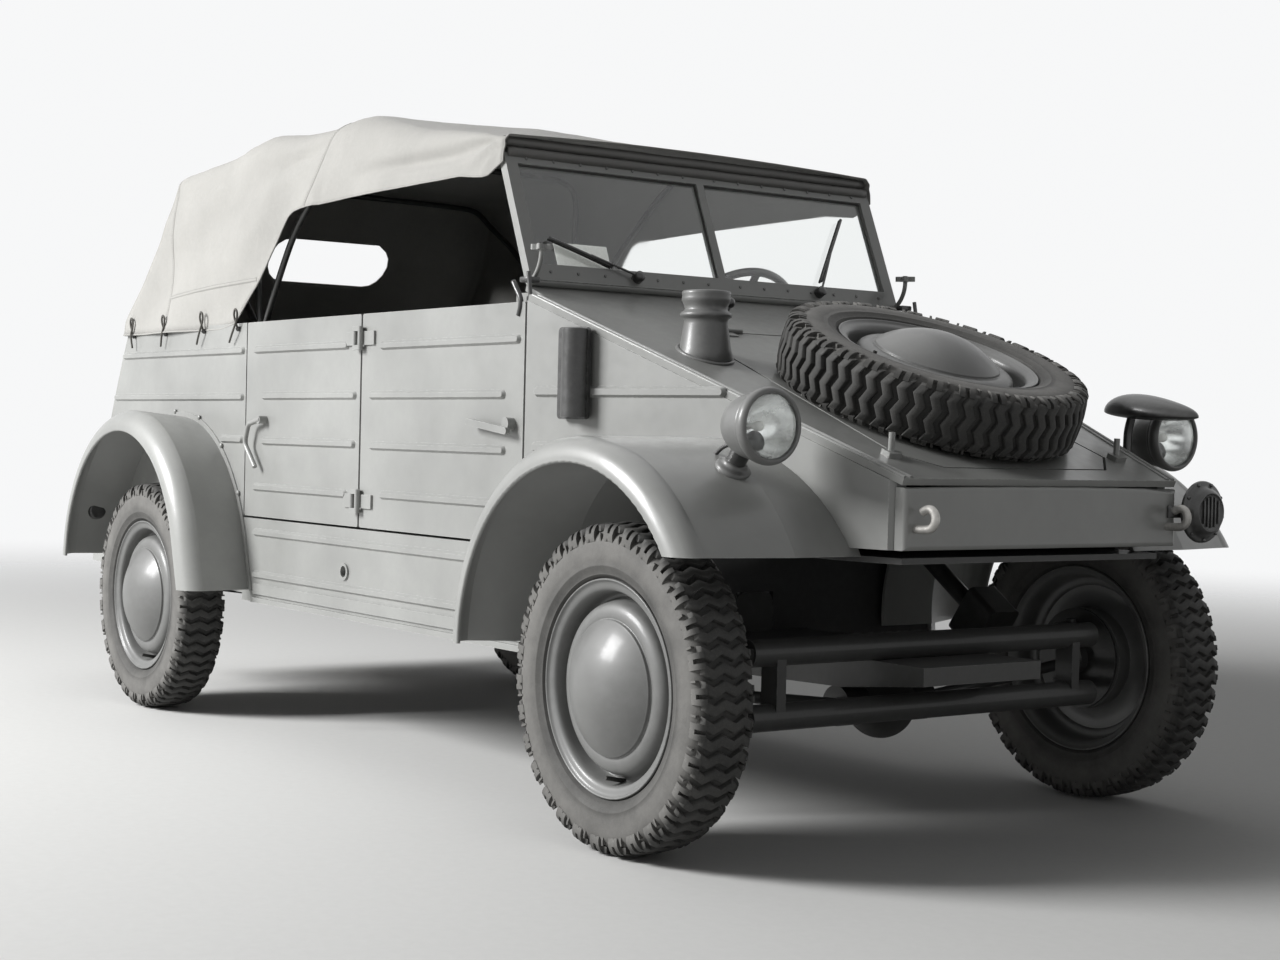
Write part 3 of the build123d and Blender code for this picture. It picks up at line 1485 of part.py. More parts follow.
# Tail lamps, round, seated on the back of the rear fenders
tail_lamp_y = body_half + 90
tail_lamp_z = rear_lip_z + 174
tail_lamp_r = 30
with BuildPart() as tail_lamps:
    with BuildSketch(Plane.YZ.offset(rear_lip_x - 502)):
        with Locations((-tail_lamp_y, tail_lamp_z)):
            Circle(tail_lamp_r)
    extrude(amount=70)
    with BuildSketch(rear_section):
        with BuildLine():
            Polyline(
                (0, body_half),
                (rear_join_r + seat_gap, body_half),
                (rear_crown_r + seat_gap, front_crown_half),
                (0, front_crown_half),
                close=True,
            )
        make_face()
    revolve(axis=Axis((rear_lip_x, 0, rear_lip_z), (0, 1, 0)), mode=Mode.SUBTRACT)
    mirror(about=Plane.XZ)
tail_lamps.part.label = "tail_lamps"
export_step(tail_lamps.part, "parts/tail_lamps.step")

# Gear lever, handbrake and pedals
lever_x = bulkhead_x - 542
lever_tall = 230
brake_x = lever_x - 110
brake_tall = 160
pedal_x = bulkhead_x - 112
pedal_thick = 10
# Columns: place across the car, height of the pad
pedal_rows = (
    (column_y - 90, tunnel_top),
    (column_y, tunnel_top),
    (column_y + 80, tunnel_top - 20),
)
with BuildPart() as controls:
    with BuildSketch(Plane.XY.offset(tunnel_top + seat_gap)):
        with Locations((lever_x, 0)):
            Circle(9)
    extrude(amount=lever_tall)
    with BuildSketch(Plane.XY.offset(tunnel_top + seat_gap)):
        with Locations((brake_x, 0)):
            Rectangle(30, 14)
    extrude(amount=brake_tall)
    with Locations((lever_x, 0, tunnel_top + lever_tall + 10)):
        Sphere(20)
    with BuildSketch(Plane.YZ.offset(pedal_x)):
        with Locations(*pedal_rows):
            Rectangle(50, 70)
    extrude(amount=pedal_thick)
    with BuildSketch(Plane.YZ.offset(pedal_x + pedal_thick)):
        for y, z in pedal_rows:
            with Locations((y, z - 25)):
                Rectangle(14, 16)
    extrude(amount=bulkhead_x - pedal_x - pedal_thick - seat_gap)
controls.part.label = "controls"
export_step(controls.part, "parts/controls.step")

# Front axle: two cross tubes, trailing arms, final drive and half shafts
tube_x = front_axle_x + 150
tube_r = 28
tube_low_z = 275
tube_high_z = 406
tube_half = body_half - 100
arm_thick = 22
half_shaft_r = 13
kingpin_r = 12
eye_r = 20
arm_line = (
    (tube_x + 20, 30 - tube_half),
    (tube_x + 20, -tube_half),
    (front_axle_x + 70, 45 - kingpin_y),
    (front_axle_x + 14, -kingpin_y + 14),
    (front_axle_x - 16, -kingpin_y + 12),
    (front_axle_x - 10, 49 - kingpin_y),
    (front_axle_x + 50, 69 - kingpin_y),
    (tube_x - 20, 30 - tube_half),
)
with BuildPart() as front_axle_beam:
    for z in (tube_low_z, tube_high_z):
        with Locations(Location((tube_x, 0, z), (90, 0, 0))):
            Cylinder(tube_r, 2 * tube_half)
        with BuildSketch(Plane.XY.offset(z - arm_thick / 2)):
            with BuildLine():
                Polyline(*arm_line, close=True)
            make_face()
            with Locations((front_axle_x, -kingpin_y)):
                Circle(eye_r)
                Circle(kingpin_r + running_gap, mode=Mode.SUBTRACT)
            mirror(about=Plane.XZ)
        extrude(amount=arm_thick)
    for side in (-1, 1):
        with Locations((tube_x, side * (tube_half - 70), (tube_low_z + tube_high_z) / 2)):
            Box(50, 24, tube_high_z - tube_low_z)
front_axle_beam.part.label = "front_axle_beam"
export_step(front_axle_beam.part, "parts/front_axle_beam.step")

# Front final drive below the frame head, with its two half shafts
drive_z = floor_z - 84
shaft_end_z = wheel_z - 14
with BuildPart() as front_drive:
    with Locations((front_axle_x, 0, drive_z)):
        Sphere(78)
    with Locations(Location((front_axle_x, 0, drive_z), (90, 0, 0))):
        Cylinder(44, 260)
    with BuildSketch(Plane.XZ.offset(-40)):
        with Locations((front_axle_x, drive_z + 38)):
            Rectangle(90, 100)
    extrude(amount=80)
    add(floor_pan.part, mode=Mode.SUBTRACT)
    for side in (-1, 1):
        with BuildLine() as shaft:
            Line(
                (front_axle_x, side * 100, drive_z),
                (front_axle_x, side * (kingpin_y - 45), shaft_end_z),
            )
        with BuildSketch(Plane(shaft.wires()[0] @ 0, z_dir=shaft.wires()[0] % 0)):
            Circle(half_shaft_r)
        sweep(path=shaft.wires()[0])
front_drive.part.label = "front_drive"
export_step(front_drive.part, "parts/front_drive.step")

# Knuckles: kingpin, yoke eyes, brake back plate and the stub that carries the wheel
back_plate_in = track / 2 - 52
back_plate_thick = 6
stub_r = hub_bore_r - running_gap
hub_depth = drum_in + disc_in - 5
for corner, place, turn in corners[:2]:
    side = -1 if turn > 0 else 1
    outward = Plane(origin=(front_axle_x, 0, wheel_z), x_dir=(1, 0, 0), z_dir=(0, side, 0))
    with BuildPart() as knuckle:
        with BuildSketch(Plane.XY.offset(tube_low_z - 20)):
            with Locations((front_axle_x, side * kingpin_y)):
                Circle(kingpin_r)
        extrude(amount=tube_high_z - tube_low_z + 40)
        with BuildSketch(outward.offset(kingpin_y)):
            Circle(36)
        extrude(amount=back_plate_in - kingpin_y)
        with BuildSketch(outward.offset(back_plate_in)):
            Circle(drum_r)
        extrude(amount=back_plate_thick)
        with BuildSketch(outward.offset(back_plate_in)):
            Circle(stub_r)
        extrude(amount=track / 2 - drum_in - 1 - back_plate_in + hub_depth)
    knuckle.part.label = corner.replace("front", "knuckle")
    export_step(knuckle.part, "parts/" + corner.replace("front", "knuckle") + ".step")

# Rear axle: gearbox, axle tubes, hub reduction cases and the spring plates
axle_z = wheel_z + 68
case_in = body_half - 40
gearbox_half = 95
gearbox_front_x = rear_axle_x + 335
exhaust_x = tail_low[0] + 135
engine_front_x = rear_axle_x - 125
engine_rear_x = exhaust_x + 105
torsion_x = rear_axle_x + 355
torsion_z = floor_z + 39
with BuildPart() as rear_axle:
    with BuildSketch(Plane.YZ.offset(engine_front_x + seat_gap)):
        with Locations((0, axle_z)):
            RectangleRounded(2 * gearbox_half, 2 * gearbox_half, 50)
    extrude(amount=gearbox_front_x - engine_front_x, taper=4)
    with Locations(Location((rear_axle_x, 0, axle_z), (90, 0, 0))):
        Cylinder(34, 2 * case_in + 20)
    with Locations(Location((torsion_x, 0, torsion_z), (90, 0, 0))):
        Cylinder(30, 2 * (case_in - 10))
    with Locations((torsion_x + 30, -200, torsion_z), (torsion_x + 30, 200, torsion_z)):
        Box(60, 90, 40)
    add(rear_floor.part, mode=Mode.SUBTRACT)
    for side in (-1, 1):
        outward = Plane(origin=(rear_axle_x, 0, wheel_z), x_dir=(1, 0, 0), z_dir=(0, side, 0))
        with BuildSketch(Plane.XZ.offset(-side * case_in)):
            with Locations(Location((rear_axle_x, (axle_z + wheel_z) / 2), 90)):
                SlotCenterToCenter(axle_z - wheel_z, 130)
        extrude(amount=-side * (back_plate_in - case_in))
        with BuildSketch(outward.offset(back_plate_in)):
            Circle(drum_r)
        extrude(amount=back_plate_thick)
        with BuildSketch(outward.offset(back_plate_in)):
            Circle(stub_r)
        extrude(amount=track / 2 - drum_in - 1 - back_plate_in + hub_depth)
        with BuildSketch(Plane.XZ.offset(-side * (case_in - 20))):
            with BuildLine():
                Polyline(
                    (torsion_x, torsion_z + 30),
                    (torsion_x, torsion_z - 30),
                    (rear_axle_x, torsion_z - 40),
                    (rear_axle_x, torsion_z + 30),
                    close=True,
                )
            make_face()
        extrude(amount=-side * 12)
        with BuildSketch(Plane.XZ.offset(-side * (case_in - 20))):
            with Locations((rear_axle_x, axle_z - 20)):
                Circle(50)
        extrude(amount=-side * 22)
rear_axle.part.label = "rear_axle"
export_step(rear_axle.part, "parts/rear_axle.step")

# Engine behind the rear axle, as one plain block with its cooling fan housing
engine_low_z = floor_z + 4
engine_tall = 210
engine_half = 310
fan_r = 150
fan_z = engine_low_z + engine_tall + 60
with BuildPart() as engine:
    with BuildSketch(Plane.XY.offset(engine_low_z)):
        with Locations(((engine_front_x + engine_rear_x) / 2, 0)):
            RectangleRounded(engine_front_x - engine_rear_x, 2 * engine_half, 30)
    extrude(amount=engine_tall)
    with BuildSketch(Plane.YZ.offset(engine_rear_x + 115)):
        with Locations((0, fan_z)):
            Circle(fan_r)
        with Locations((0, fan_z - 60)):
            Rectangle(2 * fan_r, 120)
    extrude(amount=fan_r)
engine.part.label = "engine"
export_step(engine.part, "parts/engine.step")

# Exhaust: silencer across the back with its two tail pipes
exhaust_z = engine_low_z + 20
bracket_long = 65
with BuildPart() as exhaust:
    with Locations(Location((exhaust_x, 0, exhaust_z), (90, 0, 0))):
        Cylinder(52, 560)
    for y in (-180, 180):
        with Locations(Location((exhaust_x - 70, y, exhaust_z - 25), (0, 90, 0))):
            Cylinder(17, 130)
    for y in (-200, 200):
        with Locations((engine_rear_x - seat_gap - bracket_long / 2, y, exhaust_z + 10)):
            Box(bracket_long, 40, 40)
exhaust.part.label = "exhaust"
export_step(exhaust.part, "parts/exhaust.step")
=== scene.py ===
"""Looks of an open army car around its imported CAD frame."""

import json
import math

import bmesh
import bpy
from mathutils import Matrix, Vector, noise
from mathutils.bvhtree import BVHTree


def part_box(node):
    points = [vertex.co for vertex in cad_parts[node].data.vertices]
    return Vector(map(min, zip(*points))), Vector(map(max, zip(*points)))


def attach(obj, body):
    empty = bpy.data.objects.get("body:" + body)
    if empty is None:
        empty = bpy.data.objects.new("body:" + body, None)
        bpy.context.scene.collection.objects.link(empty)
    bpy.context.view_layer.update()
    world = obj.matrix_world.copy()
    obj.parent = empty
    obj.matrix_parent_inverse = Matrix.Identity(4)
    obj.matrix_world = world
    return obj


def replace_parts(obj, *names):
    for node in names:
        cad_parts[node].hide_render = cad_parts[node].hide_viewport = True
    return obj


bl_info = {
    "name": "Army Car Looks",
    "version": (1, 0, 0),
    "blender": (4, 5, 0),
    "location": "View3D > Sidebar > Army Car",
    "description": "Builds paint, canvas, tyres, cushions and fittings around the car's frame",
    "category": "Object",
}

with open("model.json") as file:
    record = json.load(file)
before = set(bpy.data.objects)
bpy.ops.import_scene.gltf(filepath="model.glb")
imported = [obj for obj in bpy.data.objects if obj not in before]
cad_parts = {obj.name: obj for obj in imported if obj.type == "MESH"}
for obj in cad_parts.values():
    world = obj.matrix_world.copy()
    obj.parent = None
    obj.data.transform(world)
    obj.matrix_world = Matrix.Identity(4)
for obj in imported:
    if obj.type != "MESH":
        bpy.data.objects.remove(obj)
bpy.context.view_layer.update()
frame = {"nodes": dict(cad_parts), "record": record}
NODES = frame["nodes"]

# Places that several pieces share, in metres
SIDES = (("right", -1), ("left", 1))
WHEEL_R = 0.332
TRACK_HALF = 0.68
HOOD_X, HOOD_Z, HOOD_SLOPE = 0.847, 1.126, 0.3774
SPARE_SPOT = (0.6287, 0, 0.0745)
SCREEN_LEAN = math.radians(23.2)
SCREEN_FOOT = (0.743 - 0.014 * math.sin(SCREEN_LEAN), 1.165 + 0.014 * math.cos(SCREEN_LEAN))
HERE = Matrix()

# Looks: material slot and finish
BLACK = ("black_paint", "black_enamel")
PAINTED = ("body_paint", "wheel_paint")
DUCK = ("canvas", "top_canvas")
PAPER = ("pane_glass", "blank_paper")
CAST = ("engine_metal", "cast_alloy")
RUBBER = ("tyre_rubber", "tyre_rubber")
WHEEL = ("wheel_paint", "wheel_paint")


def hood_place():
    """Frame of the hood: X down the slope, Y to the left, Z off the sheet."""
    tilt = math.atan2(HOOD_SLOPE, 1)
    c, s = math.cos(tilt), math.sin(tilt)
    return Matrix(((c, 0, s, HOOD_X), (0, 1, 0, 0), (-s, 0, c, HOOD_Z), (0, 0, 0, 1)))


def upright_place(lean, origin):
    """Frame of a leaning pane or back: X across to the left, Y up it, Z out to the front."""
    c, s = math.cos(lean), math.sin(lean)
    x, y, z = origin
    return Matrix(((0, -s, c, x), (1, 0, 0, y), (0, c, s, z), (0, 0, 0, 1)))


SCREEN = upright_place(SCREEN_LEAN, (SCREEN_FOOT[0], 0, SCREEN_FOOT[1]))


def tenths(*numbers):
    """Points (radius, height) from numbers in tenths of a millimetre, taken two by two."""
    return [(a / 10000, b / 10000) for a, b in zip(numbers[::2], numbers[1::2])]


def smooth_step(t):
    """0 to 1 with soft ends."""
    t = min(1, max(0, t))
    return t * t * (3 - 2 * t)


# Materials

BAND = 0.314  # scale of a wave texture whose bands stand a metre apart


class Nodes:
    """A node tree under construction."""

    def __init__(self, tree):
        self.tree = tree

    def feed(self, node, inputs):
        """Give a node's sockets their links or values."""
        for key, value in inputs.items():
            if isinstance(value, bpy.types.NodeSocket):
                self.tree.links.new(value, node.inputs[key])
            else:
                node.inputs[key].default_value = value

    def node(self, kind, inputs=None, **settings):
        """New node with its settings and inputs."""
        made = self.tree.nodes.new(kind)
        for key, value in settings.items():
            setattr(made, key, value)
        self.feed(made, inputs or {})
        return made

    def math(self, operation, a, b):
        return self.node("ShaderNodeMath", {0: a, 1: b}, operation=operation).outputs[0]


class Shader(Nodes):
    """A node material whose patterns lie on Object coordinates."""

    def __init__(self, name):
        self.material = bpy.data.materials.new(name)
        self.material.use_nodes = True
        super().__init__(self.material.node_tree)
        self.body = self.tree.nodes["Principled BSDF"]
        self.coords = self.node("ShaderNodeTexCoord").outputs["Object"]

    def set(self, **values):
        """Sockets of the shader itself."""
        self.feed(self.body, {key.replace("_", " "): value for key, value in values.items()})

    def noise(self, scale, detail=4, rough=0.6):
        """Noise of so many cells a metre."""
        inputs = {"Scale": scale, "Detail": detail, "Roughness": rough, "Vector": self.coords}
        return self.node("ShaderNodeTexNoise", inputs).outputs["Fac"]

    def ramp(self, value, *stops):
        """Value turned into a level by two (position, level) stops."""
        made = self.node("ShaderNodeValToRGB", {"Fac": value})
        for element, (position, level) in zip(made.color_ramp.elements, stops):
            element.position = position
            element.color = (level, level, level, 1)
        return made.outputs["Color"]

    def mix(self, share, a, b):
        """Blend of two colours by a share."""
        a, b = (c if isinstance(c, bpy.types.NodeSocket) else (*c, 1) for c in (a, b))
        return self.node("ShaderNodeMix", {0: share, 6: a, 7: b}, data_type="RGBA").outputs[2]

    def bump(self, *layers):
        """Bump from (height, distance in metres) layers."""
        below = {}
        for height, distance in layers:
            inputs = {"Strength": 1, "Distance": distance, "Height": height, **below}
            below = {"Normal": self.node("ShaderNodeBump", inputs).outputs["Normal"]}
        self.feed(self.body, below)

    def edge(self, radius):
        """1 on worn edges, 0 on flat faces."""
        rounded = self.node("ShaderNodeBevel", {"Radius": radius}, samples=4).outputs["Normal"]
        plain = self.node("ShaderNodeNewGeometry").outputs["Normal"]
        dot = self.node("ShaderNodeVectorMath", {0: rounded, 1: plain}, operation="DOT_PRODUCT")
        return self.ramp(dot.outputs["Value"], (0.93, 1), (0.995, 0))


def shade(tone, factor, lift=0.0):
    """Tone made darker or paler."""
    return tuple(min(1, c * factor + lift) for c in tone)


def paint(name, tone, gloss, dust=0.35):
    """Enamel on sheet steel: faint waves, spray texture, dust in patches, bright worn edges."""
    s = Shader(name)
    patches, fine = s.noise(2.2, 5, 0.62), s.noise(34, 5, 0.7)
    base = s.mix(s.ramp(patches, (0.35, 0), (0.65, 1)), shade(tone, 0.86), shade(tone, 1.13))
    grime = s.math("MULTIPLY", s.ramp(fine, (0.42, 0), (0.72, 1)), dust)
    base = s.mix(grime, base, shade(tone, 0.55, 0.12))
    chips = s.ramp(s.noise(60, 4, 0.7), (0.45, 0), (0.6, 0.5))
    base = s.mix(s.math("MULTIPLY", s.edge(0.0035), chips), base, shade(tone, 1.5, 0.12))
    dull = s.math("ADD", fine, s.math("MULTIPLY", patches, 0.5))
    s.set(Base_Color=base, Roughness=s.ramp(dull, (0.45, gloss), (1.05, gloss + 0.2)), IOR=1.5,
          Coat_Weight=0.25, Coat_Roughness=0.18)
    s.bump((s.noise(1.7, 2, 0.5), 0.004), (s.noise(420, 2, 0.5), 0.00006))
    return s.material


def rubber(name):
    """Tyre rubber with dry dust on the sides, where the piece's own dust attribute is high; that attribute is
    lowered near the bead, which paints shade there.
    """
    s = Shader(name)
    dirt, fine = s.noise(14, 6, 0.7), s.noise(190, 4, 0.7)
    base = s.mix(s.ramp(dirt, (0.38, 0), (0.7, 1)), (0.026, 0.026, 0.025), (0.055, 0.054, 0.051))
    # Dust on the sidewalls; less of it towards the bead leaves a darker band there, which is painted shade of
    # the concave sidewall
    dust_and_bead_shade = s.node("ShaderNodeAttribute", attribute_name="dust").outputs["Fac"]
    base = s.mix(s.math("MULTIPLY", dust_and_bead_shade, s.ramp(dirt, (0.3, 0.45), (0.75, 0.8))), base, (0.2, 0.195, 0.185))
    base = s.mix(s.math("MULTIPLY", s.ramp(fine, (0.5, 0), (0.75, 1)), 0.2), base, (0.2, 0.19, 0.175))
    s.set(Base_Color=base, Roughness=s.ramp(fine, (0.3, 0.62), (0.8, 0.88)), IOR=1.45)
    s.bump((dirt, 0.0015), (fine, 0.00035))
    return s.material


def canvas(name, tone, pitch=0.0009):
    """Proofed cotton duck with faded patches; its crossed threads follow the piece's UV map."""
    s = Shader(name)
    uv = s.node("ShaderNodeUVMap", uv_map="Weave").outputs["UV"]
    threads = []
    for turn in (0, math.pi / 2):
        across = s.node("ShaderNodeMapping", {"Vector": uv, "Rotation": (0, 0, turn)}).outputs["Vector"]
        inputs = {"Scale": BAND / pitch / 2, "Distortion": 1.2, "Detail": 1, "Detail Scale": 2}
        wave = s.node("ShaderNodeTexWave", inputs, wave_type="BANDS", bands_direction="X")
        s.feed(wave, {"Vector": across})
        threads.append(wave.outputs["Fac"])
    weave = s.math("MAXIMUM", *threads)
    slub = s.noise(90, 4, 0.7)
    stain = s.noise(3.2, 6, 0.65)
    base = s.mix(s.ramp(stain, (0.3, 0), (0.7, 1)), shade(tone, 0.86), shade(tone, 1.08))
    base = s.mix(s.ramp(weave, (0.25, 0.55), (0.9, 0)), base, shade(tone, 0.62))
    base = s.mix(s.ramp(slub, (0.45, 0), (0.75, 0.25)), base, shade(tone, 1.2))
    s.set(Base_Color=base, Roughness=0.9, IOR=1.4, Sheen_Weight=0.25, Sheen_Roughness=0.5)
    s.bump((s.noise(22, 5, 0.6), 0.0016), (weave, 0.0003), (slub, 0.0002))
    return s.material


def metal(name, tone, rough, metallic, grain, bump):
    """Bare or dirty metal with a fine cast or brushed grain."""
    s = Shader(name)
    patches, fine = s.noise(9, 5, 0.65), s.noise(grain, 5, 0.7)
    base = s.mix(s.ramp(patches, (0.35, 0), (0.7, 1)), shade(tone, 0.7), shade(tone, 1.2))
    base = s.mix(s.ramp(fine, (0.5, 0), (0.8, 0.5)), base, shade(tone, 0.5))
    dull = s.ramp(fine, (0.3, rough), (0.8, min(1, rough + 0.25)))
    s.set(Base_Color=base, Roughness=dull, Metallic=metallic)
    s.bump((fine, bump))
    return s.material


def glass(name, tone=(0.93, 0.95, 0.94), ribs=0.0):
    """Clear glass, or a lens with upright ribs on the object's own Y."""
    s = Shader(name)
    s.set(Base_Color=(*tone, 1), IOR=1.5, Transmission_Weight=1)
    s.set(Roughness=s.ramp(s.noise(7, 5, 0.7), (0.4, 0.0), (0.8, 0.09)))
    if ribs:
        inputs = {"Scale": BAND / ribs, "Vector": s.coords}
        wave = s.node("ShaderNodeTexWave", inputs, wave_type="BANDS", bands_direction="Y")
        s.bump((wave.outputs["Fac"], 0.0012))
    else:
        s.bump((s.noise(3, 2, 0.5), 0.0004))
    return s.material


def paper(name):
    """Blank sun-faded paper."""
    s = Shader(name)
    fibre = s.noise(160, 5, 0.7)
    tone = s.mix(s.ramp(fibre, (0.4, 0), (0.8, 1)), (0.86, 0.85, 0.82), (0.72, 0.71, 0.67))
    s.set(Base_Color=tone, Roughness=0.85)
    s.bump((fibre, 0.0001))
    return s.material


# Maker of each finish, and what it is given
FINISHES = {
    "field_paint": (paint, (0.272, 0.275, 0.265), 0.3),
    "wheel_paint": (paint, (0.14, 0.141, 0.137), 0.4),
    # Near-black paint for the floor pans, much darker than the body, as painted shade under the car
    "under_paint": (paint, (0.055, 0.055, 0.053), 0.6, 0.2),
    "black_enamel": (paint, (0.028, 0.028, 0.027), 0.28, 0.25),
    "header_paint": (paint, (0.118, 0.115, 0.108), 0.5, 0.3),
    # Black chassis paint, made darker still as painted shade under the car; the front tub's lip under the
    # nose takes it as painted shade too
    "chassis_black": (paint, (0.022, 0.022, 0.021), 0.6, 0.15),
    "tyre_rubber": (rubber,),
    "top_canvas": (canvas, (0.385, 0.378, 0.358)),
    "seat_cloth": (canvas, (0.15, 0.148, 0.138), 0.0016),
    "strap_web": (canvas, (0.1, 0.095, 0.085), 0.001),
    "seam_thread": (canvas, (0.25, 0.245, 0.23)),
    "cast_alloy": (metal, (0.42, 0.41, 0.39), 0.5, 0.85, 90, 0.0006),
    "stained_steel": (metal, (0.24, 0.18, 0.14), 0.6, 0.8, 50, 0.0004),
    "mirror_silver": (metal, (0.85, 0.85, 0.84), 0.12, 1, 30, 0.00003),
    "pane_glass": (glass,),
    "lens_glass": (glass,),
    "red_lens": (glass, (0.5, 0.02, 0.02), 0.004),
    "blank_paper": (paper,),
}
MATERIALS = {}


def finish_of(name):
    """The material of one finish, made when it is first asked for."""
    if name not in MATERIALS:
        maker, *details = FINISHES[name]
        MATERIALS[name] = maker(name, *details)
    return MATERIALS[name]


# Mesh helpers


def new_object(name, bm):
    """Object of a bmesh, in the scene."""
    mesh = bpy.data.meshes.new(name)
    bm.to_mesh(mesh)
    bm.free()
    made = bpy.data.objects.new(name, mesh)
    bpy.context.scene.collection.objects.link(made)
    return made


def new_piece(name, bm, look, place=HERE, body="root", smooth=True, crease=0):
    """Finished piece at a place, riding on a body; edges sharper than the crease stay hard."""
    bmesh.ops.transform(bm, matrix=place, verts=bm.verts)
    bmesh.ops.remove_doubles(bm, verts=bm.verts, dist=1e-5)
    bmesh.ops.recalc_face_normals(bm, faces=bm.faces)
    bm.normal_update()
    for face in bm.faces:
        face.smooth = smooth
    if crease:
        for edge in bm.edges:
            if len(edge.link_faces) == 2 and edge.calc_face_angle() > math.radians(crease):
                edge.smooth = False
    piece = new_object(name, bm)
    piece.data.materials.append(finish_of(look[1]))
    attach(piece, body)
    return piece


def bevel_piece(piece, width, segments):
    """Round the piece's sharp edges."""
    modifier = piece.modifiers.new("Bevel", "BEVEL")
    modifier.width = width
    modifier.segments = segments
    modifier.limit_method = "ANGLE"
    modifier.angle_limit = math.radians(35)
    modifier.harden_normals = True


def spun(bm, points, steps):
    """Profile of (radius, height) points turned about Z."""
    verts = [bm.verts.new((r, 0, z)) for r, z in points]
    edges = [bm.edges.new(pair) for pair in zip(verts, verts[1:])]
    bmesh.ops.spin(bm, geom=verts + edges, axis=(0, 0, 1), angle=2 * math.pi, steps=steps, use_merge=True)
    bmesh.ops.remove_doubles(bm, verts=bm.verts, dist=1e-6)


def rounded(points):
    """Points with each corner cut in two, so that the turned shape has soft edges."""
    cut = [points[0]]
    for (a, b), (c, d) in zip(points, points[1:]):
        cut += [(a * 0.75 + c * 0.25, b * 0.75 + d * 0.25), (a * 0.25 + c * 0.75, b * 0.25 + d * 0.75)]
    return cut + [points[-1]]


def turned(name, points, steps, look, place=HERE, body="root", crease=0):
    """Piece turned from a profile."""
    bm = bmesh.new()
    spun(bm, points, steps)
    return new_piece(name, bm, look, place, body, crease=crease)


def block(bm, size, spot, bevel=0.0, place=HERE):
    """Box of a size at a spot, with rounded edges."""
    made = bmesh.ops.create_cube(bm, size=1)["verts"]
    bmesh.ops.scale(bm, vec=size, verts=made)
    if bevel:
        edges = [e for e in bm.edges if e.verts[0] in made]
        made = bmesh.ops.bevel(
            bm, geom=edges, offset=bevel, segments=2, profile=0.5, affect="EDGES", material=-1)["verts"]
    bmesh.ops.transform(bm, matrix=place @ Matrix.Translation(spot), verts=made)


def ball(bm, spot, radius, rings, squash=1.0):
    """Ball with so many rings, flattened across the car."""
    made = bmesh.ops.create_uvsphere(bm, u_segments=rings[0], v_segments=rings[1], radius=radius)["verts"]
    bmesh.ops.scale(bm, vec=(1, squash, 1), verts=made)
    bmesh.ops.translate(bm, vec=spot, verts=made)


def bolt(bm, spot, radius, tall, turn=0.0):
    """Hexagon bolt head, Z up."""
    place = Matrix.Translation(Vector(spot) + Vector((0, 0, tall / 2))) @ Matrix.Rotation(turn, 4, "Z")
    bmesh.ops.create_cone(
        bm, cap_ends=True, segments=6, radius1=radius, radius2=radius * 0.93, depth=tall, matrix=place)


def rod(name, points, radius, look, place=HERE, body="root", closed=False, straight=False, sides=4, crease=0):
    """Round bar that follows points."""
    curve = bpy.data.curves.new(name, "CURVE")
    curve.dimensions = "3D"
    curve.bevel_depth = radius
    curve.bevel_resolution = sides
    curve.resolution_u = 8
    curve.use_fill_caps = True
    line = curve.splines.new("POLY" if straight else "NURBS")
    line.points.add(len(points) - 1)
    for spot, point in zip(line.points, points):
        spot.co = (*point, 1)
    if not straight:
        line.order_u = 3
        line.use_endpoint_u = not closed
    line.use_cyclic_u = closed
    holder = bpy.data.objects.new(name + "_line", curve)
    bpy.context.scene.collection.objects.link(holder)
    bpy.context.view_layer.update()
    mesh = bpy.data.meshes.new_from_object(holder)
    bpy.data.objects.remove(holder)
    bm = bmesh.new()
    bm.from_mesh(mesh)
    bpy.data.meshes.remove(mesh)
    return new_piece(name, bm, look, place, body, crease=crease)


def weave_map(piece):
    """UV map in metres for the threads, projected on each face's own direction."""
    layer = piece.data.uv_layers.new(name="Weave")
    for face in piece.data.polygons:
        flat = max(range(3), key=lambda i: abs(face.normal[i]))
        a, b = (i for i in range(3) if i != flat)
        for loop in face.loop_indices:
            co = piece.data.vertices[piece.data.loops[loop].vertex_index].co
            layer.data[loop].uv = (co[a], co[b])


# Sizes and colours that a user would change


def length(name, description, default):
    """Property for a size in metres."""
    return bpy.props.FloatProperty(name=name, description=description, default=default, unit="LENGTH")


class ArmyTyreSizes(bpy.types.PropertyGroup):
    """Tread of the tyres."""

    bars: bpy.props.IntProperty(
        name="Tread bars", description="Zig-zag bars around the tyre", default=60, min=30, max=90)
    bar_wide: length("Bar width", "Width of a tread bar along the tread", 0.0185)
    bar_tall: length("Bar height", "Depth of the tread", 0.011)
    zigzag: length("Zig-zag", "How far a bar swings to each side", 0.0058)


class ArmyCanvasSizes(bpy.types.PropertyGroup):
    """Shape of the canvas top between its bows."""

    sag: length("Sag", "How far the cloth hangs between two bows", 0.014)
    thick: length("Cloth thickness", "Thickness of the proofed duck", 0.002)
    wrinkle: length("Wrinkles", "Height of the small wrinkles", 0.0035)


class ArmySeatSizes(bpy.types.PropertyGroup):
    """Stuffing of the seat cushions."""

    voxel: length("Voxel", "Grid of the remeshed cushion", 0.008)
    pressure: bpy.props.FloatProperty(name="Pressure", description="Pressure of the stuffing", default=4.0)
    swell: length("Most swell", "How far the cloth may move as it fills", 0.014)


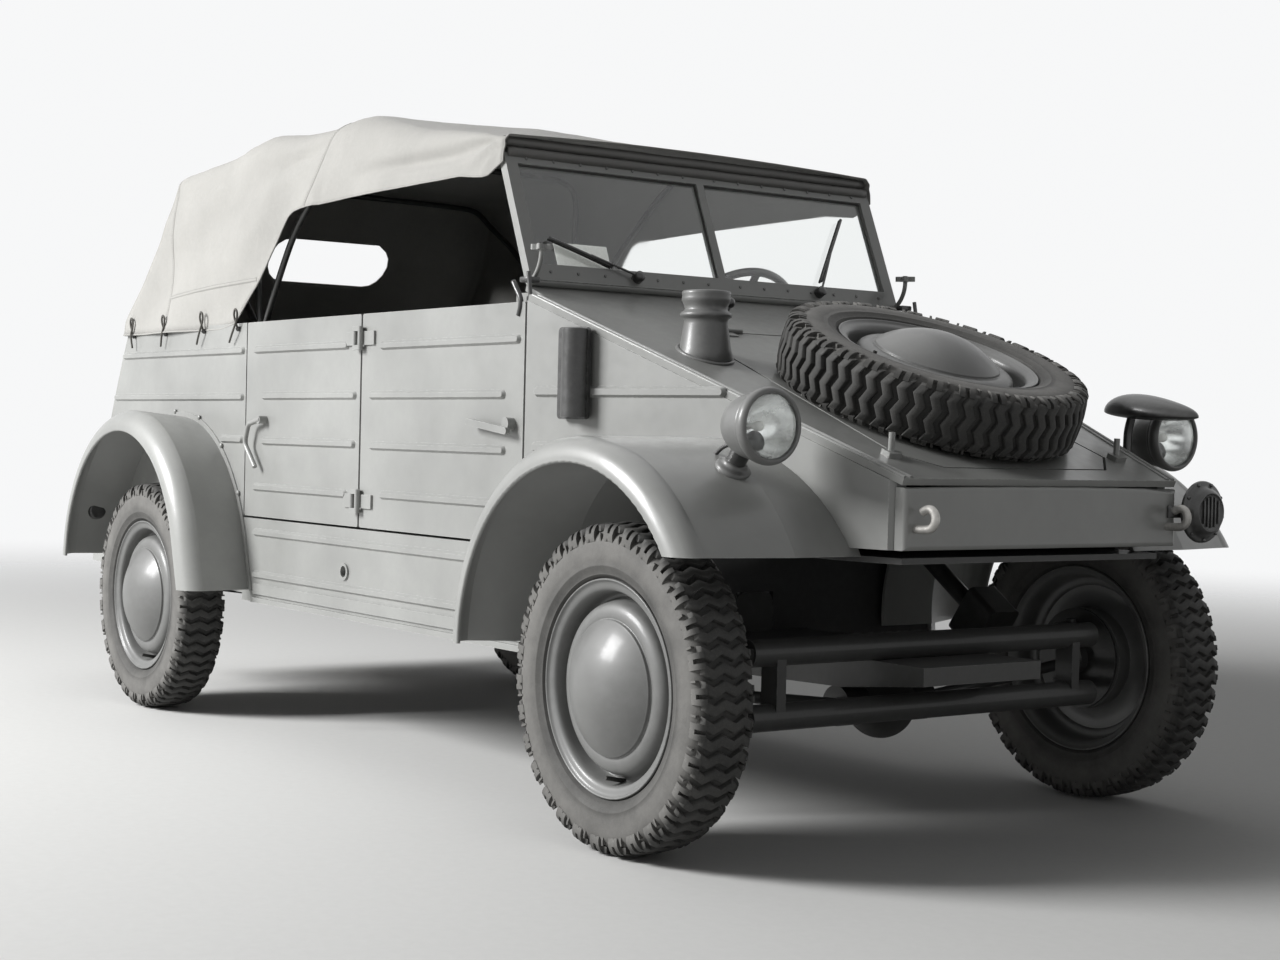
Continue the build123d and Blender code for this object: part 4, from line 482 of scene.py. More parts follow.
class ArmyStageSizes(bpy.types.PropertyGroup):
    """Floor, lamps and camera."""

    floor_tone: bpy.props.FloatVectorProperty(
        name="Floor", description="Colour of the floor", subtype="COLOR", default=(0.62, 0.62, 0.61), size=3)
    key_power: bpy.props.FloatProperty(
        name="Key lamp", description="Power of the lamp on the right side", default=1150.0)
    fill_power: bpy.props.FloatProperty(
        name="Fill lamp", description="Power of the lamp before the nose", default=8.0)
    top_power: bpy.props.FloatProperty(
        name="Top lamp", description="Power of the lamp overhead", default=48.0)
    lens: bpy.props.FloatProperty(name="Lens", description="Focal length in millimetres", default=56.3)


# Stage

FADE = (2.6, 10.0)  # distances from the car's middle over which the floor runs out
AMBIENT = 0.1  # strength of the surround as light; it shows at full strength


class ARMY_OT_stage(bpy.types.Operator):
    """Pale floor, soft lamps and the camera at the photograph's angle"""

    bl_idname = "army.stage"
    bl_label = "Stage"

    def execute(self, context):
        sizes = context.scene.army_stage
        self.floor(tuple(sizes.floor_tone))
        context.scene.world = self.world()
        # Columns: name, place, target, size, power
        for name, place, target, size, power in (
            ("key", (-3.1, -6.8, 4.5), (0.1, -0.3, 0.8), 3.0, sizes.key_power),
            ("fill", (6.5, -1.5, 2.6), (0.8, 0, 0.7), 4.0, sizes.fill_power),
            ("top", (-1.0, 0.5, 6.5), (0, 0, 1), 5.0, sizes.top_power),
        ):
            light = bpy.data.lights.new(name, "AREA")
            light.shape = "SQUARE"
            light.size = size
            light.energy = power
            lamp = bpy.data.objects.new(name, light)
            lamp.location = place
            lamp.rotation_euler = (Vector(target) - Vector(place)).to_track_quat("-Z", "Y").to_euler()
            context.scene.collection.objects.link(lamp)
        self.camera(context, sizes.lens)
        context.scene.view_settings.view_transform = "Standard"
        return {"FINISHED"}

    def floor(self, tone):
        """Even floor that runs out into the surround far from the car."""
        bm = bmesh.new()
        bmesh.ops.create_grid(bm, x_segments=8, y_segments=8, size=30)
        floor = new_object("floor", bm)
        s = Shader("studio_floor")
        s.set(Base_Color=s.mix(s.ramp(s.noise(40, 5, 0.7), (0.3, 0), (0.8, 1)), tone, shade(tone, 0.95)),
              Roughness=0.9)
        distance = s.node("ShaderNodeVectorMath", {0: s.coords}, operation="LENGTH").outputs["Value"]
        inputs = {"From Min": FADE[0], "From Max": FADE[1], "Value": distance}
        share = s.node("ShaderNodeMapRange", inputs, interpolation_type="SMOOTHSTEP").outputs["Result"]
        clear = s.node("ShaderNodeBsdfTransparent").outputs["BSDF"]
        blend = s.node("ShaderNodeMixShader", {"Fac": share, 1: s.body.outputs["BSDF"], 2: clear})
        s.feed(s.tree.nodes["Material Output"], {"Surface": blend.outputs["Shader"]})
        floor.data.materials.append(s.material)

    def world(self):
        """Even pale surround."""
        world = bpy.data.worlds.new("studio")
        world.use_nodes = True
        nodes = Nodes(world.node_tree)
        rays = nodes.node("ShaderNodeLightPath").outputs
        seen = nodes.math("MAXIMUM", rays["Is Camera Ray"], rays["Is Transmission Ray"])
        seen = nodes.math("MAXIMUM", seen, rays["Is Glossy Ray"])
        level = nodes.node("ShaderNodeMapRange", {"To Min": AMBIENT, "To Max": 1.0, "Value": seen})
        background = {"Strength": level.outputs["Result"], "Color": (0.93, 0.935, 0.94, 1)}
        nodes.feed(world.node_tree.nodes["Background"], background)
        return world

    def camera(self, context, lens):
        """Camera fitted to the photograph."""
        azimuth, pitch, roll = math.radians(54.19), math.radians(1.22), math.radians(1.36)
        level = math.cos(pitch)
        out = Vector((-math.sin(azimuth) * level, math.cos(azimuth) * level, -math.sin(pitch)))
        right = Vector((math.cos(azimuth), math.sin(azimuth), 0))
        up = right.cross(out)
        x = right * math.cos(roll) + up * math.sin(roll)
        y = up * math.cos(roll) - right * math.sin(roll)
        data = bpy.data.cameras.new("camera")
        data.lens = lens
        data.sensor_width = 36
        data.sensor_fit = "HORIZONTAL"
        data.clip_end = 200
        camera = bpy.data.objects.new("camera", data)
        turn = Matrix((x, y, -out)).transposed().to_4x4()
        camera.matrix_world = Matrix.Translation((4.571, -3.003, 0.831)) @ turn
        context.scene.collection.objects.link(camera)
        context.scene.camera = camera


class ARMY_OT_paint(bpy.types.Operator):
    """Paint and metal of the pieces that CAD makes"""

    bl_idname = "army.paint"
    bl_label = "Paint"

    def execute(self, context):
        finishes = {
            "body_paint": "field_paint", "wheel_paint": "wheel_paint", "tyre_rubber": "tyre_rubber",
            "pane_glass": "pane_glass", "canvas": "top_canvas", "seat_cloth": "seat_cloth",
            "black_paint": "black_enamel", "chassis_metal": "chassis_black", "engine_metal": "cast_alloy",
            "exhaust_metal": "stained_steel", "lamp_red": "red_lens",
        }
        # Painted shade: the floor pans and the front tub's lip under the nose take very dark finishes that
        # stand in for the shade under the car
        dark_for_shade = {"floor_pan": "under_paint", "rear_floor": "under_paint", "front_tub": "chassis_black"}
        for row in frame["record"]["subparts"]:
            finish = finish_of(dark_for_shade.get(row["node"], finishes[row["material_slot"]]))
            materials = NODES[row["node"]].data.materials
            if not materials:
                materials.append(finish)
            for index in range(len(materials)):
                materials[index] = finish
        return {"FINISHED"}


# Wheels and tyres

SPARE = hood_place() @ Matrix.Translation(SPARE_SPOT)
# Columns: corner, body it rides on, node of the tyre, node of the wheel, place with Z out along the axle
WHEELS = [
    (f"{end}_{side}", f"wheel_{end}_{side}", f"tyre_{end}_{side}", f"wheel_{end}_{side}",
     Matrix.Translation((x, sign * TRACK_HALF, WHEEL_R)) @ Matrix.Rotation(-sign * math.pi / 2, 4, "X"))
    for end, x in (("front", 1.33), ("rear", -1.07)) for side, sign in SIDES
] + [("spare", "front_lid", "spare_tyre", "spare_wheel", SPARE)]
TREAD_R = 0.325  # radius at which a bar's length is measured


def crown(z):
    """Radius of the tyre's casing at a place across the tread."""
    return 0.3205 - 1.9 * z * z


def tyre_form(sizes):
    """Casing, zig-zag bars and notched shoulder blocks of one tyre, Z along the axle."""
    bm = bmesh.new()
    # One attribute carries real dust on the sidewalls and painted shade near the bead
    dust = bm.verts.layers.float.new("dust")
    half = tenths(
        2085, 0, 2085, 475, 2145, 488, 2195, 496, 2225, 535, 2265, 590, 2300, 592, 2350, 618, 2420, 641,
        2432, 650, 2452, 654, 2464, 649, 2560, 666, 2660, 673, 2760, 674, 2860, 668, 2940, 654, 3000, 632,
        3055, 598, 3095, 555) + [(crown(z), z) for z in (0.05, 0.04, 0.02, 0)]
    spun(bm, half + [(r, -z) for r, z in reversed(half[1:-1])] + [half[0]], 120)
    casing = set(bm.verts)

    # One zig-zag bar: its top outline, drawn flat as (along the tread, across it)
    stations = (-0.056, -0.036, -0.013, 0.013, 0.036, 0.056)
    pairs = []
    for i, z in enumerate(stations):
        swing = sizes.zigzag * (1 if i % 2 else -1)
        pairs.append([bm.verts.new((swing + side * sizes.bar_wide / 2, z, 0)) for side in (-1, 1)])
    top = [bm.faces.new((*low, *high[::-1])) for low, high in zip(pairs, pairs[1:])]
    body = bmesh.ops.extrude_face_region(bm, geom=top)
    foot = [v for v in body["geom"] if isinstance(v, bmesh.types.BMVert)]
    bmesh.ops.translate(bm, vec=(0, 0, -sizes.bar_tall - 0.002), verts=foot)
    bmesh.ops.scale(bm, vec=(1.22, 1.03, 1), verts=foot)
    flat = lambda face: abs(face.calc_center_median().z) < 1e-6
    rim = [e for e in bm.edges if e.verts[0] not in casing and sum(map(flat, e.link_faces)) == 1]
    bmesh.ops.bevel(bm, geom=rim, offset=0.0014, segments=1, profile=0.5, affect="EDGES", material=-1)
    bar = [v for v in bm.verts if v not in casing]
    for v in bar:
        t, z, h = v.co
        radius = crown(z) + h + sizes.bar_tall
        v.co = (radius * math.cos(t / TREAD_R), radius * math.sin(t / TREAD_R), z)
    repeat(bm, {f for v in bar for f in v.link_faces}, sizes.bars)

    # Shoulder blocks at each second bar: two prongs, joined at their inner ends
    step = 4 * math.pi / sizes.bars
    crest = tenths(3275, 535, 3240, 600, 3175, 648, 3090, 678, 3005, 684, 2925, 668)
    prong = crest + tenths(2940, 600, 3040, 560, 3110, 500, 3150, 460)
    bridge = crest[3:] + tenths(2940, 600, 3060, 580)
    # Columns: start and width as shares of the pitch, outline
    for start, wide, outline in (
        (0.08, 0.17, prong), (0.25, 0.14, bridge), (0.39, 0.17, prong), (0.72, 0.07, bridge),
    ):
        c, s = math.cos(start * step), math.sin(start * step)
        for side in (1, -1):
            before = set(bm.faces)
            verts = [bm.verts.new((r * c, r * s, side * z)) for r, z in outline]
            face = bm.faces.new(verts)
            bmesh.ops.spin(
                bm, geom=[face] + list(face.edges) + verts, axis=(0, 0, 1), angle=wide * step, steps=2)
            repeat(bm, [f for f in bm.faces if f not in before], sizes.bars // 2)
    for v in bm.verts:
        radius = math.hypot(v.co.x, v.co.y)
        v[dust] = smooth_step((0.33 - radius) / 0.03) * smooth_step((abs(v.co.z) - 0.046) / 0.012)
        # Painted shade: less dust towards the bead leaves a darker band, standing in for the shade of the
        # concave sidewall
        v[dust] *= 0.3 + 0.7 * smooth_step((radius - 0.232) / 0.04)
    return bm


def repeat(bm, faces, count):
    """Copies of faces around Z."""
    geom = set(faces)
    for face in faces:
        geom.update(face.edges, face.verts)
    for index in range(1, count):
        copy = bmesh.ops.duplicate(bm, geom=list(geom))["geom"]
        copied = [v for v in copy if isinstance(v, bmesh.types.BMVert)]
        bmesh.ops.rotate(bm, matrix=Matrix.Rotation(2 * math.pi * index / count, 3, "Z"), verts=copied)


def wheel_profile(spare):
    """Closed section of rim, dished disc and domed cap, as (radius, height out of the car)."""
    cap_r, cap_z, rise = 0.135, 0.052, 0.048
    sphere = (cap_r ** 2 + rise ** 2) / (2 * rise)
    angles = [math.asin(cap_r / sphere) * i / 20 for i in range(21)]
    dome = [(sphere * math.sin(a), cap_z + rise - sphere + sphere * math.cos(a)) for a in angles]
    front = tenths(
        1366, 510, 1368, 465, 1385, 450, 1405, 456, 1480, 462, 1580, 440, 1665, 392, 1715, 320, 1742, 200,
        1775, 65, 1830, 42, 1880, 62, 1905, 160, 1925, 380, 1955, 460, 2015, 494, 2095, 512, 2130, 540,
        2150, 566, 2172, 570, 2186, 555, 2186, 510, 2140, 492, 2083, 488)
    back = tenths(
        2083, -488, 2140, -492, 2186, -510, 2186, -555, 2172, -570, 2150, -566, 2130, -540, 2080, -500,
        1990, -470, 1950, -260, 1930, -60, 1880, -20, 1740, -10, 1700, 80)
    hub = tenths(1180, 80, 1180, -180, 1205, -190, 1205, -390, 1180, -400, 165, -400, 165, 40, 0, 40)
    if spare:
        hub = tenths(600, 80, 600, 72, 0, 72)
    return dome + front + back + hub


class ARMY_OT_tyres(bpy.types.Operator):
    """Off-road tyres with zig-zag bars and notched shoulders"""

    bl_idname = "army.tyres"
    bl_label = "Tyres"

    def execute(self, context):
        form = tyre_form(context.scene.army_tyre)
        for index, (corner, body, node, _, place) in enumerate(WHEELS):
            place = place @ Matrix.Rotation(0.37 * index, 4, "Z")
            piece = new_piece("lugged_tyre_" + corner, form.copy(), RUBBER, place, body, crease=42)
            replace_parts(piece, node)
        form.free()
        return {"FINISHED"}


class ARMY_OT_wheels(bpy.types.Operator):
    """Pressed wheels with domed caps and valve stems"""

    bl_idname = "army.wheels"
    bl_label = "Wheels"

    def execute(self, context):
        stem = [(0, -0.187, 0.006), (0, -0.184, 0.024), (0, -0.18, 0.04), (0, -0.178, 0.052)]
        for corner, body, _, node, place in WHEELS:
            profile = rounded(wheel_profile(corner == "spare"))
            piece = turned("disc_wheel_" + corner, profile, 128, WHEEL, place, body, crease=50)
            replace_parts(piece, node)
            rod("valve_" + corner, stem, 0.0045, RUBBER, place, body, crease=35)
        return {"FINISHED"}


# Canvas top

BOW_X = (-0.175, -0.7, -1.235)
HEADER_X = 0.606
CORNER_X = -1.262  # where the roof turns down into the rear curtain
LEAN_X = -0.76  # where the stations start to lean back to it
# Columns: place along the car, height of the roof's edge, half width of the side, shoulder radius
ROOF_ROWS = (
    (0.606, 1.522, 0.562, 0.016), (-0.12, 1.662, 0.566, 0.085), (-0.7, 1.668, 0.566, 0.09),
    (-0.86, 1.66, 0.566, 0.09), (-1.18, 1.615, 0.566, 0.07), (CORNER_X, 1.597, 0.563, 0.034),
)
# Seams on the right side, mirrored to the left: points (x, y, z)
BOW_SEAM = [
    (-0.365, -0.6, 1.433), (-0.33, -0.585, 1.5), (-0.298, -0.57, 1.57), (-0.262, -0.55, 1.63),
    (-0.244, -0.52, 1.665), (-0.225, -0.4, 1.68), (-0.215, 0.0, 1.69),
]
CORNER_SEAM = [
    (-1.262, -0.4, 1.6), (-1.26, -0.53, 1.597), (-1.258, -0.562, 1.565), (-1.255, -0.57, 1.5),
    (-1.245, -0.58, 1.35), (-1.232, -0.6, 1.22), (-1.237, -0.606, 1.128),
]
HEM_SEAM = [(-1.232, -0.6, 1.222), (-0.9, -0.6, 1.24), (-0.64, -0.6, 1.25)]
CURTAIN_SEAM = [(-1.48, -0.5, 1.225), (-1.48, 0.5, 1.225)]
FOOT_HALF, FOOT_Z = 0.608, 1.112  # where the sides would meet the quarters
CROWN = 0.012  # how far the roof rises in its middle
# Columns: height of the rear curtain, place along the car
CURTAIN = ((1.7, -1.262), (1.59, -1.262), (1.398, -1.344), (1.262, -1.452), (1.16, -1.558), (1.0, -1.562))
# Columns: place along the car, lower edge of the cloth there
OPENING = (
    (0.7, 1.48), (0.66, 1.475), (0.6, 1.448), (0.558, 1.429), (0.44, 1.442), (0.2, 1.44),
    (-0.1, 1.437), (-0.36, 1.431), (-0.43, 1.428), (-0.462, 1.419), (-0.484, 1.399), (-0.56, 1.318),
    (-0.62, 1.245), (-0.69, 1.188), (-0.745, 1.142), (-0.775, 1.116), (-3.0, 1.116),
)
SIDE_STEPS, SHOULDER_STEPS, ROOF_STEPS, LEAN_STEPS = 22, 8, 44, 30
ROW_STEP = 0.0185
WINDOW_Z, WINDOW_TALL, WINDOW_LONG = 1.378, 0.135, 0.43


def between(rows, value, column=1):
    """Value of a column at a place, on straight lines between the rows."""
    ordered = sorted(rows)
    value = min(max(value, ordered[0][0]), ordered[-1][0])
    for low, high in zip(ordered, ordered[1:]):
        if value <= high[0]:
            share = (value - low[0]) / (high[0] - low[0])
            return low[column] + share * (high[column] - low[column])


def curtain_x(z):
    """Place of the rear curtain at a height."""
    return between(CURTAIN, z)


def shares(count):
    """Equal steps from 0 to just under 1."""
    return [i / count for i in range(count)]


def section(x, low):
    """Section of the top at a place: points (y, z) from its right lower edge to its left one."""
    edge, side, shoulder = (between(ROOF_ROWS, x, column) for column in (1, 2, 3))
    side_z, flat = edge - shoulder, side - shoulder
    low_y = FOOT_HALF + (side - FOOT_HALF) * (low - FOOT_Z) / (side_z - FOOT_Z)
    half = [(low_y + (side - low_y) * t, low + (side_z - low) * t) for t in shares(SIDE_STEPS)]
    for angle in (math.pi / 2 * t for t in shares(SHOULDER_STEPS)):
        half.append((flat + shoulder * math.cos(angle), side_z + shoulder * math.sin(angle)))
    for y in (flat * (1 - t) for t in shares(ROOF_STEPS // 2)):
        half.append((y, edge + CROWN * (1 - (y / flat) ** 2)))
    return [(-y, z) for y, z in half] + [(0.0, edge + CROWN)] + half[::-1]


def top_stations():
    """From the header back: place on the roof, and how far the row there leans to the curtain."""
    stations = [(HEADER_X + 0.02, 0.0), (HEADER_X, 0.0)]
    x = HEADER_X - 0.02
    while x > LEAN_X + 0.015:
        stations.append((x, 0.0))
        x -= ROW_STEP
    return stations + [(LEAN_X, share) for share in shares(LEAN_STEPS) + [1.0]]


def bell(distance, width):
    """1 at no distance, falling to nothing past the width."""
    return math.exp(-((distance / width) ** 2))


def cloth_offset(point, sizes):
    """How far the cloth hangs in or stands out at a point: sag between bows, folds and small wrinkles."""
    x, y, z = point
    offset = 0.0
    bows = (HEADER_X,) + BOW_X
    for front, rear in zip(bows, bows[1:]):
        if rear < x < front:
            t = (front - x) / (front - rear)
            offset -= sizes.sag * math.sin(math.pi * t) ** 1.4 * smooth_step((z - 1.5) / 0.1)
    side = smooth_step((abs(y) - 0.5) / 0.06)
    # Valley above the side opening, from the header's corner to the first bow
    if x > -0.1:
        t = min(1, (x + 0.1) / 0.7)
        line = 1.4965 + 0.13 * max(0, x - 0.4)
        offset -= 0.019 * bell(z - line, 0.019) * math.sin(math.pi * t) ** 0.7 * side
    # Valley between the bows, falling back from the seam
    if -0.66 < x < -0.25:
        line = 1.608 - 0.18 * (-0.25 - x)
        offset -= 0.011 * bell(z - line, 0.024) * math.sin(math.pi * (-0.25 - x) / 0.41) * side
    # Gathers that fan out from the header's corner
    dx, dz = x - 0.6, z - 1.52
    reach = math.hypot(dx, dz)
    fan = math.sin(math.atan2(dz, dx) * 11) * bell(reach, 0.11)
    offset += 0.006 * fan * smooth_step(reach / 0.03) * side
    # Long slack folds that run from the shoulders down to the rear corners
    if x < -0.3:
        run = (x + 0.62) * 0.62 + (1.62 - z) * 0.78
        along = (x + 0.62) * 0.78 - (1.62 - z) * 0.62
        fold = math.sin(run * 21 + math.sin(along * 6) * 1.1)
        offset += side * 0.0065 * fold * smooth_step((1.62 - z) / 0.2)
    offset += sizes.wrinkle * noise.fractal(Vector((x * 5.1, y * 4.2, z * 7.3)), 1.0, 2.1, 4)
    offset += sizes.wrinkle * 1.6 * noise.noise(Vector((x * 2.0 + 7, y * 2.4, z * 3.1)))
    if abs(x - HEADER_X) < 0.03:
        offset *= 0.2
    return min(offset, 0.008)


def grid(bm, rows, layer):
    """Grid of faces through rows of (point, place on the threads)."""
    made = bmesh.ops.create_grid(bm, x_segments=len(rows) - 1, y_segments=len(rows[0]) - 1, size=1)["verts"]
    made = sorted(made, key=lambda v: (round(v.co.x, 5), round(v.co.y, 5)))
    for vert, (point, thread) in zip(made, [spot for row in rows for spot in row]):
        vert.co, vert[layer] = point, thread


def mirrored(line):
    """The line on the other side of the car."""
    return [(x, -y, z) for x, y, z in line]


def walk(line, step):
    """Points a step apart along a line of corners."""
    points = [Vector(p) for p in line]
    path = []
    for a, b in zip(points, points[1:]):
        path += [a.lerp(b, share) for share in shares(max(1, round((b - a).length / step)))]
    return path + [points[-1]]


def tape(band, thread, tree, line, wide=0.013, tall=0.0011, pitch=0.007):
    """Narrow raised tape on a surface along a line, with stitches along both its edges."""
    spots = [tree.find_nearest(point)[:2] for point in walk(line, pitch)]
    rows = []
    for i, (place, normal) in enumerate(spots):
        ahead = spots[min(i + 1, len(spots) - 1)][0] - spots[max(i - 1, 0)][0]
        side = ahead.cross(normal).normalized()
        ahead.normalize()
        rows.append([
            band.verts.new(place + side * share * wide / 2 + normal * lift)
            for share, lift in ((-1, -0.0004), (-0.88, tall), (0.88, tall), (1, -0.0004))])
        turn = Matrix((ahead, side, normal)).transposed().to_4x4()
        for share in (-0.62, 0.62):
            spot = Matrix.Translation(place + side * share * wide / 2 + normal * tall)
            block(thread, (pitch * 0.62, 0.0011, 0.0009), (0, 0, 0), place=spot @ turn)
    for low, high in zip(rows, rows[1:]):
        for i in range(3):
            band.faces.new((low[i], low[i + 1], high[i + 1], high[i]))


class ARMY_OT_canvas_top(bpy.types.Operator):
    """Canvas top: one sewn sheet over the bows, with its curtain, hems and seams"""

    bl_idname = "army.canvas_top"
    bl_label = "Canvas top"

    def execute(self, context):
        sizes = context.scene.army_canvas
        bm = bmesh.new()
        threads = bm.verts.layers.float_vector.new("weave")
        uv = bm.loops.layers.uv.new("Weave")
        rows = self.roof()
        grid(bm, rows, threads)
        grid(bm, self.curtain([point for point, _ in rows[-1]]), threads)
        bmesh.ops.remove_doubles(bm, verts=bm.verts, dist=1e-5)
        self.cut_window(bm)
        bm.normal_update()
        bmesh.ops.recalc_face_normals(bm, faces=bm.faces)
        if max(bm.faces, key=lambda f: f.calc_center_median().z).normal.z < 0:
            bmesh.ops.reverse_faces(bm, faces=bm.faces)
        bm.normal_update()
        # The roof's rear corner is softened, and the window's edge is held while the rest hangs and folds
        corner = [v for v in bm.verts if abs(v.co.x + 1.27) < 0.06 and v.co.z > 1.53]
        for _ in range(3):
            bmesh.ops.smooth_vert(
                bm, verts=corner, factor=0.5, use_axis_x=True, use_axis_y=True, use_axis_z=True)
        bm.normal_update()
        held = {v for v in bm.verts if v.is_boundary and v.co.x < -1.2 and v.co.z > 1.2}
        moves = [v.normal * (0 if v in held else cloth_offset(v.co, sizes)) for v in bm.verts]
        for vert, move in zip(bm.verts, moves):
            vert.co += move
        area = sum(f.calc_area() for f in bm.faces)
        for loop in (loop for face in bm.faces for loop in face.loops):
            loop[uv].uv = loop.vert[threads].xy
        lines = self.border(bm)
        tree = BVHTree.FromBMesh(bm)
        cloth = new_object("canvas_sheet", bm)
        cloth.data.materials.append(finish_of("top_canvas"))
        cloth.data.shade_smooth()
        solid = cloth.modifiers.new("Cloth", "SOLIDIFY")
        solid.thickness = sizes.thick
        solid.offset = -1
        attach(cloth, "root")
        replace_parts(cloth, "canvas_top")
        trims = []
        for index, line in enumerate(lines):
            loop = (line[0] - line[-1]).length < 0.02
            trims.append(rod(f"canvas_hem_{index}", line, 0.0024, DUCK, closed=loop, straight=True, sides=2))
        trims += self.seams(tree)
        for trim in trims:
            weave_map(trim)
        self.bows()
        return {"FINISHED"}

    def roof(self):
        """Roof and sides: rows of (point, place on the threads) across the car, from the header back."""
        rows = []
        for x, share in top_stations():
            low = between(OPENING, LEAN_X - share if share else x)
            if 0 < share < 0.12:
                low = between(((0, between(OPENING, LEAN_X)), (0.12, 1.116)), share)
            row, run = [], 0.0
            for y, z in section(x + (CORNER_X - x) * share, low):
                point = Vector((x + (curtain_x(z) - x) * share, y, z))
                run += (point - row[-1][0]).length if row else 0
                row.append((point, (HEADER_X - point.x, run, 0)))
            rows.append(row)
        return rows

    def curtain(self, last):
        """Rear curtain between the last row's two sides, its roof edge and the hem."""
        wide = 2 * SHOULDER_STEPS + ROOF_STEPS
        top = last[SIDE_STEPS:SIDE_STEPS + wide + 1]
        right, left = last[:SIDE_STEPS + 1], last[::-1][:SIDE_STEPS + 1]
        rows = []
        for i in range(wide + 1):
            share = (top[i].y - top[0].y) / (top[-1].y - top[0].y)
            row = []
            for j in range(SIDE_STEPS + 1):
                base, edge, corner = (right[k].lerp(left[k], share) for k in (0, j, -1))
                point = edge + (top[i] - corner) * (j / SIDE_STEPS)
                point.x = curtain_x(point.z)
                if i in (0, wide):
                    point = (left if i else right)[j]
                elif j == SIDE_STEPS:
                    point = top[i]
                row.append((point, (3 + base.y, (point - base).length, 0)))
            rows.append(row)
        return rows

    def bows(self):
        """Steel hoops on one pivot a side; the front one's legs lie along the canvas edge."""
        root_x, root_z = -0.7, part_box("top_bows")[0][2] + 0.025
        half = 0.541
        # Columns: name, leg from the pivot up, place and height of the hoop's top
        for name, leg, x, z in (
            ("front", ((-0.655, 1.165), (-0.585, 1.27), (-0.5, 1.38), (-0.4, 1.455), (-0.29, 1.545)),
             -0.19, 1.625),
            ("middle", ((-0.735, 1.2), (-0.735, 1.4)), -0.7, 1.63),
            ("rear", ((-0.82, 1.2), (-1.05, 1.42)), -1.235, 1.58),
        ):
            points = [(a, half, b) for a, b in ((root_x, root_z), *leg)]
            corner = ((0.012, -0.045), (0.055, -0.004), (0.13, 0.004))
            points += [(x, half - inward, z + up) for inward, up in corner]
            points += [(x, 0.0, z + 0.008)] + mirrored(points)[::-1]
            hoop = rod("bow_" + name, points, 0.009, BLACK, sides=6)
            if name == "front":
                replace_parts(hoop, "top_bows")
        bm = bmesh.new()
        for _, sign in SIDES:
            block(bm, (0.13, 0.022, 0.05), (root_x, sign * 0.566, root_z), 0.004)
        new_piece("bow_pivots", bm, BLACK, crease=35)

    def seams(self, tree):
        """Felled seams: a narrow tape along each line, with two rows of stitches."""
        lines = [BOW_SEAM + mirrored(BOW_SEAM)[-2::-1], CURTAIN_SEAM]
        lines += [CORNER_SEAM, mirrored(CORNER_SEAM), HEM_SEAM, mirrored(HEM_SEAM)]
        window = []
        for angle in (2 * math.pi * i / 48 for i in range(49)):
            c, z = math.cos(angle), WINDOW_Z + 0.0785 * math.sin(angle)
            window.append((curtain_x(z), 0.2285 * math.copysign(1, c) * min(1, abs(c) * 3), z))
        band, thread = bmesh.new(), bmesh.new()
        for line in lines + [window]:
            tape(band, thread, tree, line)
        stitches = ("canvas", "seam_thread")
        return [new_piece("canvas_tapes", band, DUCK), new_piece("canvas_stitches", thread, stitches)]

    def cut_window(self, bm):
        """Slot with rounded ends in the rear curtain."""
        radius = WINDOW_TALL / 2
        reach = 0.045
        outline = []
        for side in (1, -1):
            for angle in (math.pi / 2 - math.pi * i / 8 for i in range(9)):
                y = side * (WINDOW_LONG / 2 - radius + radius * math.cos(angle))
                outline.append((y, WINDOW_Z + side * radius * math.sin(angle)))

        def near():
            """Faces around the window, with their middles."""
            found = [(f, f.calc_center_median()) for f in bm.faces]
            found = [(f, c) for f, c in found if c.x < -1.27 and abs(c.z - WINDOW_Z) < radius + 0.05]
            return [(f, c) for f, c in found if abs(c.y) < WINDOW_LONG / 2 + 0.05]

        for (y0, z0), (y1, z1) in zip(outline, outline[1:] + outline[:1]):
            if abs(y1 - y0) + abs(z1 - z0) < 1e-6:
                continue
            straight = abs(z1 - z0) < 1e-6
            geom = set()
            for f, c in near():
                if straight or math.hypot(c.y - (y0 + y1) / 2, c.z - (z0 + z1) / 2) < reach:
                    geom.update([f], f.edges, f.verts)
            bmesh.ops.bisect_plane(
                bm, geom=list(geom), dist=1e-5, plane_co=(0, y0, z0), plane_no=(0, z1 - z0, y0 - y1),
                clear_inner=False, clear_outer=False)
        inside = []
        for f, c in near():
            past = max(0, abs(c.y) - WINDOW_LONG / 2 + radius)
            if math.hypot(past, c.z - WINDOW_Z) < radius * 0.995:
                inside.append(f)
        bmesh.ops.delete(bm, geom=inside, context="FACES")

    def border(self, bm):
        """Points along each free edge of the cloth, the shortest edge first."""
        free = dict.fromkeys(e for e in bm.edges if e.is_boundary)
        lines = []
        while free:
            line = list(free.popitem()[0].verts)
            for _ in range(2):
                while nearby := [e for e in line[-1].link_edges if e in free]:
                    del free[nearby[0]]
                    line.append(nearby[0].other_vert(line[-1]))
                line.reverse()
            lines.append([v.co.copy() for v in line])
        return sorted(lines, key=len)


# Cushions


